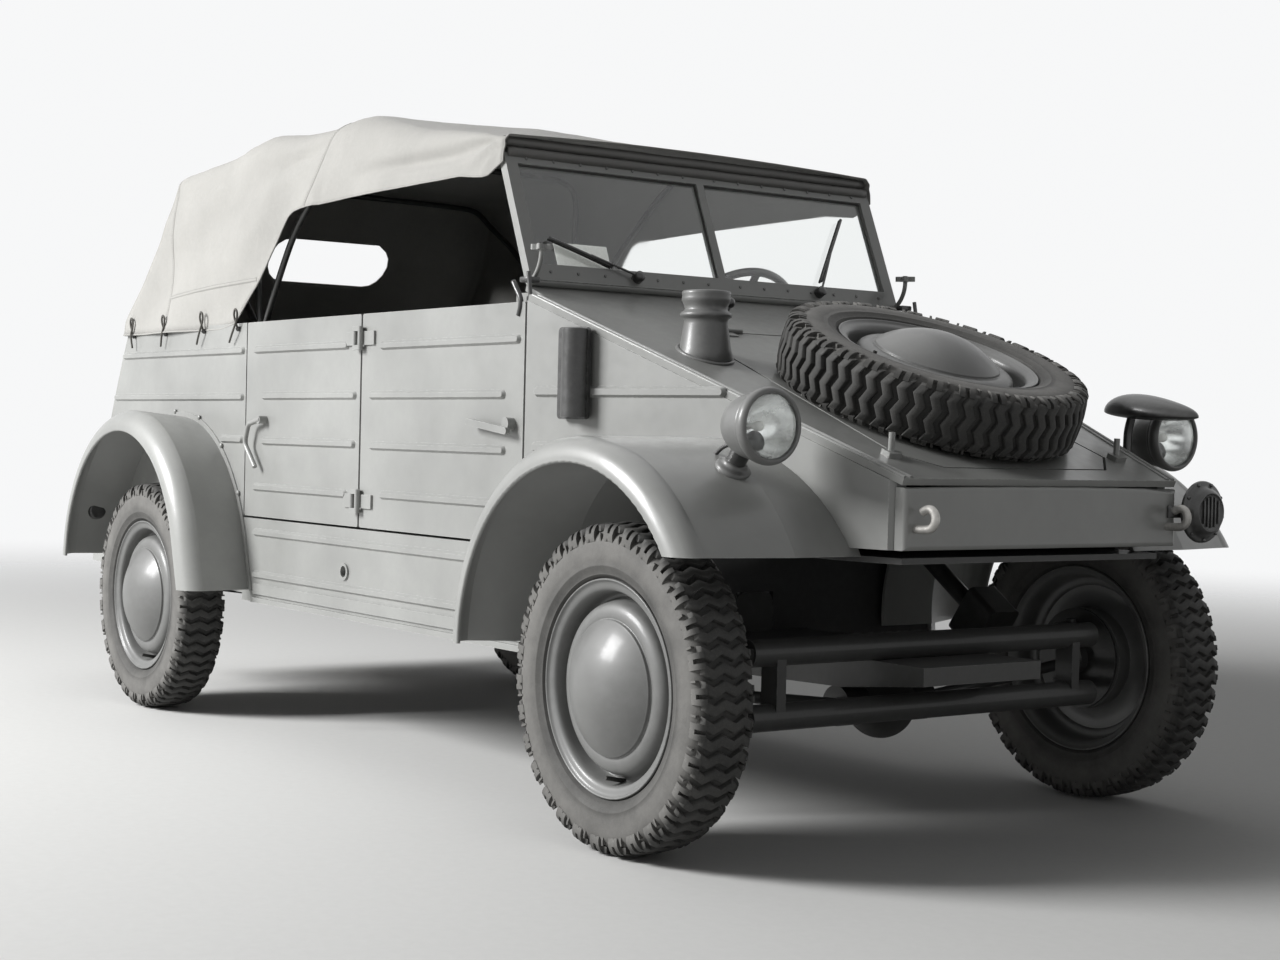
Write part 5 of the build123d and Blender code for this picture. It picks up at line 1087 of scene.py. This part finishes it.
def stuffed(name, size, place, sizes):
    """Cushion of a size, blown up by a cloth simulation from a slightly smaller block."""
    bm = bmesh.new()
    block(bm, [s - 0.01 for s in size], (0, 0, 0), 0.018, place)
    pad = new_object(name, bm)
    bpy.context.view_layer.objects.active = pad
    pad.select_set(True)
    remesh = pad.modifiers.new("Remesh", "REMESH")
    remesh.mode = "VOXEL"
    remesh.voxel_size = sizes.voxel
    bpy.ops.object.modifier_apply(modifier=remesh.name)
    rest = [v.co.copy() for v in pad.data.vertices]
    cloth = pad.modifiers.new("Cloth", "CLOTH")
    cloth.settings.use_pressure = True
    cloth.settings.uniform_pressure_force = sizes.pressure
    cloth.settings.effector_weights.gravity = 0
    cloth.settings.quality = 4
    for step in range(1, 21):
        bpy.context.scene.frame_set(step)
    bpy.ops.object.modifier_apply(modifier=cloth.name)
    for vert, home in zip(pad.data.vertices, rest):
        move = vert.co - home
        if move.length > sizes.swell:
            vert.co = home + move * (sizes.swell / move.length)
    bpy.context.scene.frame_set(1)
    pad.select_set(False)
    return pad


def finish_pad(pad, channels, place, tall):
    """Sewn channels pressed into the top, then the last subdivision and the cloth."""
    inverse = place.inverted()
    for vert in pad.data.vertices:
        local = inverse @ vert.co
        if local.z > 0:
            for axis, at in channels:
                local.z -= 0.009 * bell(local[axis] - at, 0.01) * smooth_step(local.z / (tall * 0.3))
            vert.co = place @ local
    sub = pad.modifiers.new("Subdivision", "SUBSURF")
    sub.levels = sub.render_levels = 1
    pad.data.shade_smooth()
    pad.data.materials.append(finish_of("seat_cloth"))
    weave_map(pad)
    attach(pad, "root")


def back_place(x, y, tall=0.42, thick=0.06):
    """Place of a leaning back cushion: X across, Y up the back, Z to the front."""
    lean = math.atan2(0.25, 1)
    c, s = math.cos(lean), math.sin(lean)
    origin = Vector((x, y, 0.62)) + Vector((-s, 0, c)) * (0.03 + tall / 2) - Vector((c, 0, s)) * (thick / 2)
    return upright_place(lean, origin)


class ARMY_OT_cushions(bpy.types.Operator):
    """Front seats and rear bench in padded cloth"""

    bl_idname = "army.cushions"
    bl_label = "Cushions"

    def execute(self, context):
        flat = lambda x, y: Matrix.Translation((x, y, 0.6))
        # Columns: name, size, place, axis, pitch and count of the sewn channels, node that it stands for
        rows = []
        for side, sign in SIDES:
            y = sign * 0.3
            rows += [
                (f"seat_{side}", (0.44, 0.43, 0.08), flat(0.07, y), 1, 0.0717, 2, "front_seat_pads"),
                (f"seat_back_{side}", (0.43, 0.42, 0.06), back_place(-0.165, y), 0, 0.0717, 2,
                 "front_seat_pads")]
        rows += [
            ("bench", (0.4, 1.04, 0.08), flat(-0.56, 0), 1, 0.08, 6, "rear_seat_pads"),
            ("bench_back", (1.06, 0.42, 0.06), back_place(-0.775, 0), 0, 0.0815, 6, "rear_seat_pads")]
        for name, size, place, axis, pitch, count, node in rows:
            pad = stuffed(name, size, place, context.scene.army_seat)
            finish_pad(pad, [(axis, k * pitch) for k in range(-count, count + 1)], place, size[2])
            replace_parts(pad, node)
        return {"FINISHED"}


# Lamps


def to_front(x, y, z):
    """Frame at a place whose Z points to the car's front."""
    return Matrix.Translation((x, y, z)) @ Matrix.Rotation(math.pi / 2, 4, "Y")


def fender_top(x, y):
    """Height of the front fender's skin."""
    t = (0.745 - abs(y)) / 0.185
    cx, cz, r = 1.262 + 0.058 * t, 0.374 + 0.039 * t, 0.458 - 0.037 * t
    return cz + math.sqrt(max(0.0, r * r - (x - cx) ** 2))


class ARMY_OT_lamps(bpy.types.Operator):
    """Headlamps with lens and mirror, hooded night lamp, tail lamps and horn"""

    bl_idname = "army.lamps"
    bl_label = "Lamps"

    def execute(self, context):
        for side, sign in SIDES:
            self.headlamp(side, sign * 0.585)
            self.tail_lamp(side, sign * 0.69)
        self.night_lamp()
        self.horn()
        return {"FINISHED"}

    def headlamp(self, side, y):
        """Bowl with its mirror, lens and bulb, on a bent neck whose flange lies on the fender."""
        place = to_front(1.626, y, 0.858)
        bowl = tenths(
            0, -1050, 180, -1035, 340, -960, 480, -820, 590, -600, 655, -360, 680, -150, 690, -100, 712, -95,
            722, -70, 712, -45, 730, -20, 752, 40, 750, 110, 725, 170, 680, 205, 640, 195, 632, 150,
            620, 90, 560, -80, 440, -280, 280, -440, 120, -510, 0, -525)
        bowl = turned(f"headlamp_bowl_{side}", rounded(bowl), 64, PAINTED, place)
        bowl.data.materials.append(finish_of("mirror_silver"))
        inverse = place.inverted()
        for face in bowl.data.polygons:
            c = inverse @ face.center
            if c.z < 0.0105 and math.hypot(c.x, c.y) < 0.0625 and face.normal.x > 0.15:
                face.material_index = 1
        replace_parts(bowl, "headlamps")
        lens = tenths(
            0, 262, 200, 250, 400, 212, 560, 166, 638, 135, 638, 110, 560, 140, 400, 186, 200, 224, 0, 236)
        turned(f"headlamp_lens_{side}", lens, 64, ("pane_glass", "lens_glass"), place, crease=40)
        bulb = tenths(0, -120, 60, -135, 98, -200, 98, -300, 60, -400, 60, -520, 0, -520)
        turned(f"headlamp_bulb_{side}", bulb, 24, PAPER, place)
        foot_x = 1.528
        ground = fender_top(foot_x, y)
        slope = math.atan2(fender_top(foot_x - 0.02, y) - fender_top(foot_x + 0.02, y), 0.04)
        seat = Matrix.Translation((foot_x, y, ground)) @ Matrix.Rotation(slope, 4, "Y")
        flange = tenths(0, 160, 230, 160, 250, 130, 265, 80, 330, 60, 370, 20, 370, -120, 0, -120)
        turned(f"headlamp_foot_{side}", rounded(flange), 40, PAINTED, seat)
        end = fender_top(foot_x - 0.06, y) - 0.004 - ground
        # Columns: name, radius, sides, points ahead of the foot and above it
        for name, radius, sides, line in (
            ("neck", 0.02, 8, ((0.002, 0.004), (0.016, 0.026), (0.036, 0.044), (0.068, 0.056))),
            ("lead", 0.0042, 4, ((0.01, 0.052), (-0.03, 0.044), (-0.052, 0.03), (-0.06, end))),
        ):
            points = [(foot_x + ahead, y, ground + up) for ahead, up in line]
            rod(f"headlamp_{name}_{side}", points, radius, BLACK, sides=sides)

    def night_lamp(self):
        """Hooded lamp on the left fender: a flattened shell on its stalk and base."""
        x0, y0 = 1.6, 0.47
        bm = bmesh.new()
        for v in bmesh.ops.create_uvsphere(bm, u_segments=40, v_segments=24, radius=1)["verts"]:
            x, y, z = v.co
            front = smooth_step((x + 1) / 2)
            v.co.x = 1.664 + 0.127 * x
            v.co.y = y0 + y * (0.036 + 0.02 * math.sin(math.pi * min(1, 0.15 + front * 0.8)))
            v.co.z = 0.9145 + (z * (0.048 if z > 0 else 0.016)) * (1 - 0.3 * front) - 0.012 * front
        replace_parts(new_piece("night_lamp_shell", bm, BLACK), "night_lamp")
        base = fender_top(x0, y0)
        foot = tenths(0, 0, 300, 0, 335, 40, 335, 120, 260, 180, 0, 200)
        turned("night_lamp_base", foot, 32, BLACK, Matrix.Translation((x0, y0, base - 0.012)))
        line = [(x, y0, z) for x, z in ((x0, base - 0.002), (x0, 0.85), (1.603, 0.88), (1.612, 0.905))]
        rod("night_lamp_stalk", line, 0.0095, BLACK)

    def horn(self):
        """Round body with a bolted rim, slotted grille and bracket."""
        place = to_front(1.812, 0.45, 0.701)
        profile = tenths(
            0, -40, 350, -40, 520, 20, 635, 80, 660, 110, 660, 160, 640, 190, 560, 200, 530, 230, 480, 330,
            400, 400, 390, 380, 360, 360, 0, 370)
        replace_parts(turned("horn_body", rounded(profile), 64, BLACK, place), "horn")
        bm = bmesh.new()
        for angle in (2 * math.pi * index / 9 for index in range(9)):
            bolt(bm, (0.06 * math.cos(angle), 0.06 * math.sin(angle), 0.0185), 0.0042, 0.0036)
        for row in range(-2, 3):
            wide = 0.033 * math.sqrt(1 - (row / 3) ** 2)
            block(bm, (2 * wide, 0.0032, 0.003), (0, row * 0.0115, 0.0383), 0.0008)
        new_piece("horn_grille", bm, BLACK, place)
        bm = bmesh.new()
        block(bm, (0.004, 0.09, 0.026), (1.8085, 0.405, 0.701), 0.0012)
        new_piece("horn_bracket", bm, BLACK, crease=35)

    def tail_lamp(self, side, y):
        """Cup with a domed lens, facing back."""
        place = Matrix.Translation((-1.5905, y, 0.56)) @ Matrix.Rotation(-math.pi / 2, 4, "Y")
        cup = tenths(0, -320, 260, -320, 300, -200, 300, 180, 290, 205, 265, 205, 255, 160, 0, 150)
        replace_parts(turned(f"tail_lamp_cup_{side}", rounded(cup), 40, BLACK, place), "tail_lamps")
        lens = tenths(0, 300, 140, 285, 230, 235, 262, 170, 262, 155, 0, 155)
        turned(f"tail_lamp_lens_{side}", lens, 40, ("lamp_red", "red_lens"), place)


# Windscreen


class ARMY_OT_windscreen(bpy.types.Operator):
    """Pane seals, screws, blank paper, wipers, clamps and the header's canvas roll"""

    bl_idname = "army.windscreen"
    bl_label = "Windscreen"

    def execute(self, context):
        half, mid = 0.265, 0.276
        seal = ("black_paint", "tyre_rubber")
        for side, sign in SIDES:
            inner, outer = sign * (mid - half), sign * (mid + half)
            rim = [(x, y, 0.0035) for x, y in ((inner, 0.042), (outer, 0.042), (outer, 0.3), (inner, 0.3))]
            rod(f"pane_seal_{side}", rim, 0.0042, seal, SCREEN, closed=True, straight=True)
            bm = bmesh.new()
            for k in range(7):
                for up in (0.022, 0.3135):
                    bolt(bm, (inner + sign * (k + 0.5) * 2 * half / 7, up, 0.012), 0.0042, 0.0025, k)
            bevel_piece(new_piece(f"screen_screws_{side}", bm, PAINTED, SCREEN, smooth=False), 0.0006, 1)
        bm = bmesh.new()
        block(bm, (0.15, 0.058, 0.0006), (-0.395, 0.078, -0.0036))
        new_piece("blank_paper", bm, PAPER, SCREEN, smooth=False)
        # Columns: side, pivot, places of the arm, ends of the blade; across and up the glass
        for side, pivot, elbow, hold, tip, heel in (
            ("right", (-0.262, 0.022), (-0.3, 0.036), (-0.385, 0.07), (-0.49, 0.108), (-0.33, 0.046)),
            ("left", (0.3, 0.022), (0.33, 0.07), (0.372, 0.14), (0.44, 0.24), (0.316, 0.055)),
        ):
            # Columns: name, points with their height off the glass, radius, look
            for name, line, radius, look in (
                ("arm", ((*pivot, 0.024), (*elbow, 0.024), (*hold, 0.02)), 0.0028, BLACK),
                ("spine", ((*heel, 0.016), (*hold, 0.019), (*tip, 0.016)), 0.004, BLACK),
                ("lip", ((*heel, 0.009), (*hold, 0.009), (*tip, 0.009)), 0.003, seal),
            ):
                rod(f"wiper_{name}_{side}", line, radius, look, SCREEN)
            knob = tenths(0, 360, 90, 340, 125, 300, 135, 120, 0, 120)
            knob = turned(f"wiper_knob_{side}", knob, 32, BLACK, SCREEN @ Matrix.Translation((*pivot, 0)))
            if side == "right":
                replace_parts(knob, "wipers")
        for side, sign in SIDES:
            self.clamp(side, sign)
        self.header()
        return {"FINISHED"}

    def clamp(self, side, sign):
        """Bracket that holds the windscreen's foot on the cowl."""
        bm = bmesh.new()
        block(bm, (0.036, 0.034, 0.013), (0.758, sign * 0.571, 1.18), 0.003)
        block(bm, (0.03, 0.026, 0.034), (0.78, sign * 0.572, 1.126), 0.004)
        new_piece(f"clamp_foot_{side}", bm, BLACK, crease=35)
        # Columns: name, points in the plane of the windscreen's side, place of that plane, radius
        for name, points, out, radius in (
            ("lever", ((0.735, 1.176), (0.75, 1.156), (0.768, 1.138), (0.769, 1.116), (0.76, 1.098)),
             0.6, 0.006),
            ("hook", ((0.782, 1.196), (0.788, 1.168), (0.792, 1.14), (0.794, 1.112)), 0.59, 0.005),
        ):
            line = [(x, sign * out, z) for x, z in points]
            rod(f"clamp_{name}_{side}", line, radius, BLACK, sides=6)

    def header(self):
        """Canvas-covered rail along the header: two round beads before a board."""
        half = 0.553
        look = ("canvas", "header_paint")
        bm = bmesh.new()
        block(bm, (2 * half, 0.052, 0.024), (0, 0.342, -0.006), 0.004, SCREEN)
        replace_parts(new_piece("header_board", bm, look, crease=35), "top_header")
        # Columns: place up and out of the glass, radius
        for index, (up, out, radius) in enumerate(((0.3565, 0.0085, 0.014), (0.3285, 0.011, 0.0125))):
            line = [(half * (k / 6 - 1), up + 0.0008 * math.sin(k * 2.3), out) for k in range(13)]
            rod(f"header_bead_{index}", line, radius, look, SCREEN)


# Fittings on the body


class ARMY_OT_filler(bpy.types.Operator):
    """Fuel filler with its ribbed lid and clamp"""

    bl_idname = "army.filler"
    bl_label = "Fuel filler"

    def execute(self, context):
        x, y, ring = 1.15, -0.37, 0.0605
        base = HOOD_Z - HOOD_SLOPE * (x - HOOD_X)
        profile = tenths(
            0, 11505, 300, 11500, 440, 11485, 500, 11490, 525, 11465, 530, 11420, 520, 11370, 530, 11330,
            530, 11290, 515, 11250, 480, 11180, 462, 11100, 480, 11060, 540, 11020, 565, 10975, 555, 10930,
            500, 10900, 475, 10850, 480, 10780)
        profile += [(0.056, base + 0.012), (0.059, base + 0.003), (0.06, base - 0.03), (0.0, base - 0.03)]
        neck = turned("filler_neck", profile, 64, PAINTED, Matrix.Translation((x, y, 0)))
        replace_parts(neck, "fuel_filler")
        collar = []
        for angle in (2 * math.pi * i / 24 for i in range(24)):
            c, s = ring * math.cos(angle), ring * math.sin(angle)
            collar.append((x + c, y + s, base - HOOD_SLOPE * c + 0.001))
        rod("filler_collar", collar, 0.0045, PAINTED, closed=True)
        clamp = (
            (-0.01, 0.046, 1.1), (-0.01, 0.062, 1.104), (-0.008, 0.068, 1.125), (-0.006, 0.062, 1.142),
            (-0.004, 0.05, 1.147))
        rod("filler_clamp", [(x + a, y + b, z) for a, b, z in clamp], 0.006, BLACK)
        bm = bmesh.new()
        ball(bm, (x - 0.008, y + 0.07, 1.128), 0.0125, (20, 12))
        new_piece("filler_knob", bm, BLACK)
        return {"FINISHED"}


class ARMY_OT_fittings(bpy.types.Operator):
    """Strap loops, fender screws, tow hooks and eyes, and what the dashboard carries"""

    bl_idname = "army.fittings"
    bl_label = "Fittings"

    def execute(self, context):
        self.strap_loops()
        self.fender_screws()
        self.tow_hooks()
        self.instruments()
        return {"FINISHED"}

    def strap_loops(self):
        """Cord loops that tie the canvas to buttons along the quarter's top edge."""
        loop = (
            (0.004, -0.004, 1.112), (-0.004, 0, 1.132), (-0.01, 0.003, 1.152), (0.002, 0.005, 1.171),
            (0.016, 0.004, 1.16), (0.012, 0.003, 1.138), (0.001, 0.005, 1.118))
        for side, sign in SIDES:
            # Columns: place along the car, lean of the loose end
            for index, (x, lean) in enumerate(((-1.5, 0.3), (-1.247, -0.5), (-0.961, -1.0), (-0.722, -1.3))):
                ends = ((0.016 * lean, 0.004, 1.094), (0.03 * lean, 0.002, 1.074))
                points = [(x + a, sign * (0.6115 + b), z) for a, b, z in loop + ends]
                rod(f"tie_{side}_{index}", points, 0.003, ("canvas", "strap_web"), sides=3)
                bm = bmesh.new()
                ball(bm, (x, sign * 0.604, 1.112), 0.0075, (16, 10))
                new_piece(f"tie_button_{side}_{index}", bm, BLACK)

    def tow_hooks(self):
        """C-shaped hooks on the nose, plain eyes on the tail."""
        low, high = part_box("tow_hooks")
        x, z = high[0] - 0.0262, high[2] - 0.0285
        hook = tenths(-460, -195, -140, -205, 80, -170, 175, 0, 90, 175, -80, 205, -200, 130)
        ring = tenths(80, -70, 170, -70, 170, 70, 80, 70, 80, -70)
        for side, sign in SIDES:
            line = [(x + ahead, sign * 0.362, z + up) for ahead, up in hook]
            piece = rod("tow_hook_" + side, line, 0.0085, CAST, sides=8)
            if sign < 0:
                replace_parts(piece, "tow_hooks")
            bm = bmesh.new()
            spun(bm, ring, 32)
            bmesh.ops.rotate(bm, matrix=Matrix.Rotation(math.pi / 2, 3, "X"), verts=bm.verts)
            bmesh.ops.translate(bm, vec=(low[0] + 0.017, sign * 0.34, low[2] + 0.017), verts=bm.verts)
            block(bm, (0.024, 0.014, 0.018), (low[0] + 0.042, sign * 0.34, low[2] + 0.017), 0.002)
            bevel_piece(new_piece("tow_eye_" + side, bm, CAST), 0.0016, 2)

    def instruments(self):
        """Dials, switches, fuse boxes and grab handle on the dashboard; dials stay blank."""
        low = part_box("dashboard")[0]
        face, middle = low[0], low[2] + 0.083
        to_driver = Matrix.Rotation(-math.pi / 2, 4, "Y")
        # Columns: name, place across, height above the panel's middle, radius, how far it stands out
        for name, y, up, r, tall in (
            ("dial", 0.052, 0.0, 0.044, 0.008), ("clock", -0.062, 0.02, 0.022, 0.006),
            ("switch_a", -0.03, -0.036, 0.009, 0.02), ("switch_b", -0.062, -0.036, 0.009, 0.016),
            ("switch_c", -0.094, -0.036, 0.009, 0.02), ("lamp", -0.1, 0.024, 0.007, 0.005),
        ):
            place = Matrix.Translation((face, y, middle + up)) @ to_driver
            # Shares of the radius and of the height; the foot sinks into the panel
            if r < 0.01:
                shape = ((0, 1), (0.8, 1), (1, 0.8), (1, 0.55), (0.5, 0.4))
            else:
                shape = ((0, 0.55), (0.8, 0.55), (0.84, 1), (0.97, 1), (1, 0.7))
            ring = [(r * a, tall * b) for a, b in shape] + [(r * shape[-1][0], -0.003), (0.0, -0.003)]
            turned("dash_" + name, rounded(ring), 40, BLACK, place)
            if r > 0.02:
                bm = bmesh.new()
                spun(bm, [(r * a, tall * b) for a, b in ((0, 0.58), (0.79, 0.58), (0.79, 0.5), (0, 0.5))], 40)
                hand = Matrix.Rotation(0.9, 4, "Z")
                block(bm, (0.0016, r * 0.62, 0.001), (0, r * 0.24, tall * 0.64), place=hand)
                new_piece("dash_face_" + name, bm, PAPER, place)
        bm = bmesh.new()
        for _, sign in SIDES:
            block(bm, (0.026, 0.085, 0.05), (face + 0.006, sign * 0.19, middle), 0.005)
        new_piece("dash_fuse_boxes", bm, BLACK, crease=35)
        handle = (
            (0.022, -0.24), (-0.016, -0.244), (-0.024, -0.262), (-0.024, -0.43), (-0.016, -0.448),
            (0.022, -0.452))
        rod("dash_grab_handle", [(face + a, y, middle + 0.01) for a, y in handle], 0.0075, BLACK, sides=6)

    def fender_screws(self):
        """Dome-headed screws where the rear fenders meet the body."""
        bm = bmesh.new()
        for _, sign in SIDES:
            for angle in (math.radians(32 + index * 21) for index in range(7)):
                spot = (-1.12 + 0.492 * math.cos(angle), sign * 0.6045, 0.386 + 0.492 * math.sin(angle))
                ball(bm, spot, 0.0075, (14, 8), 0.6)
        new_piece("fender_screws", bm, ("body_paint", "field_paint"))


# Panel and run

GROUPS = {
    "army_tyre": ArmyTyreSizes, "army_canvas": ArmyCanvasSizes, "army_seat": ArmySeatSizes,
    "army_stage": ArmyStageSizes,
}
STEPS = (
    ARMY_OT_stage, ARMY_OT_paint, ARMY_OT_tyres, ARMY_OT_wheels, ARMY_OT_canvas_top, ARMY_OT_cushions,
    ARMY_OT_lamps, ARMY_OT_windscreen, ARMY_OT_filler, ARMY_OT_fittings,
)


class ARMY_PT_panel(bpy.types.Panel):
    """Steps that dress the car"""

    bl_idname = "ARMY_PT_panel"
    bl_label = "Army Car"
    bl_space_type = "VIEW_3D"
    bl_region_type = "UI"
    bl_category = "Army Car"

    def draw(self, context):
        for step in STEPS:
            self.layout.operator(step.bl_idname)
        for group in GROUPS:
            settings = getattr(context.scene, group)
            box = self.layout.box()
            for key in settings.bl_rna.properties.keys():
                if key not in ("rna_type", "name"):
                    box.prop(settings, key)


CLASSES = (*GROUPS.values(), *STEPS, ARMY_PT_panel)


def register():
    for kind in CLASSES:
        bpy.utils.register_class(kind)
    for name, group in GROUPS.items():
        setattr(bpy.types.Scene, name, bpy.props.PointerProperty(type=group))


def unregister():
    for name in GROUPS:
        delattr(bpy.types.Scene, name)
    for kind in reversed(CLASSES):
        bpy.utils.unregister_class(kind)


def main():
    """Build every piece in order."""
    register()
    for step in STEPS:
        getattr(bpy.ops.army, step.bl_idname.split(".")[1])()


if __name__ == "__main__":
    main()
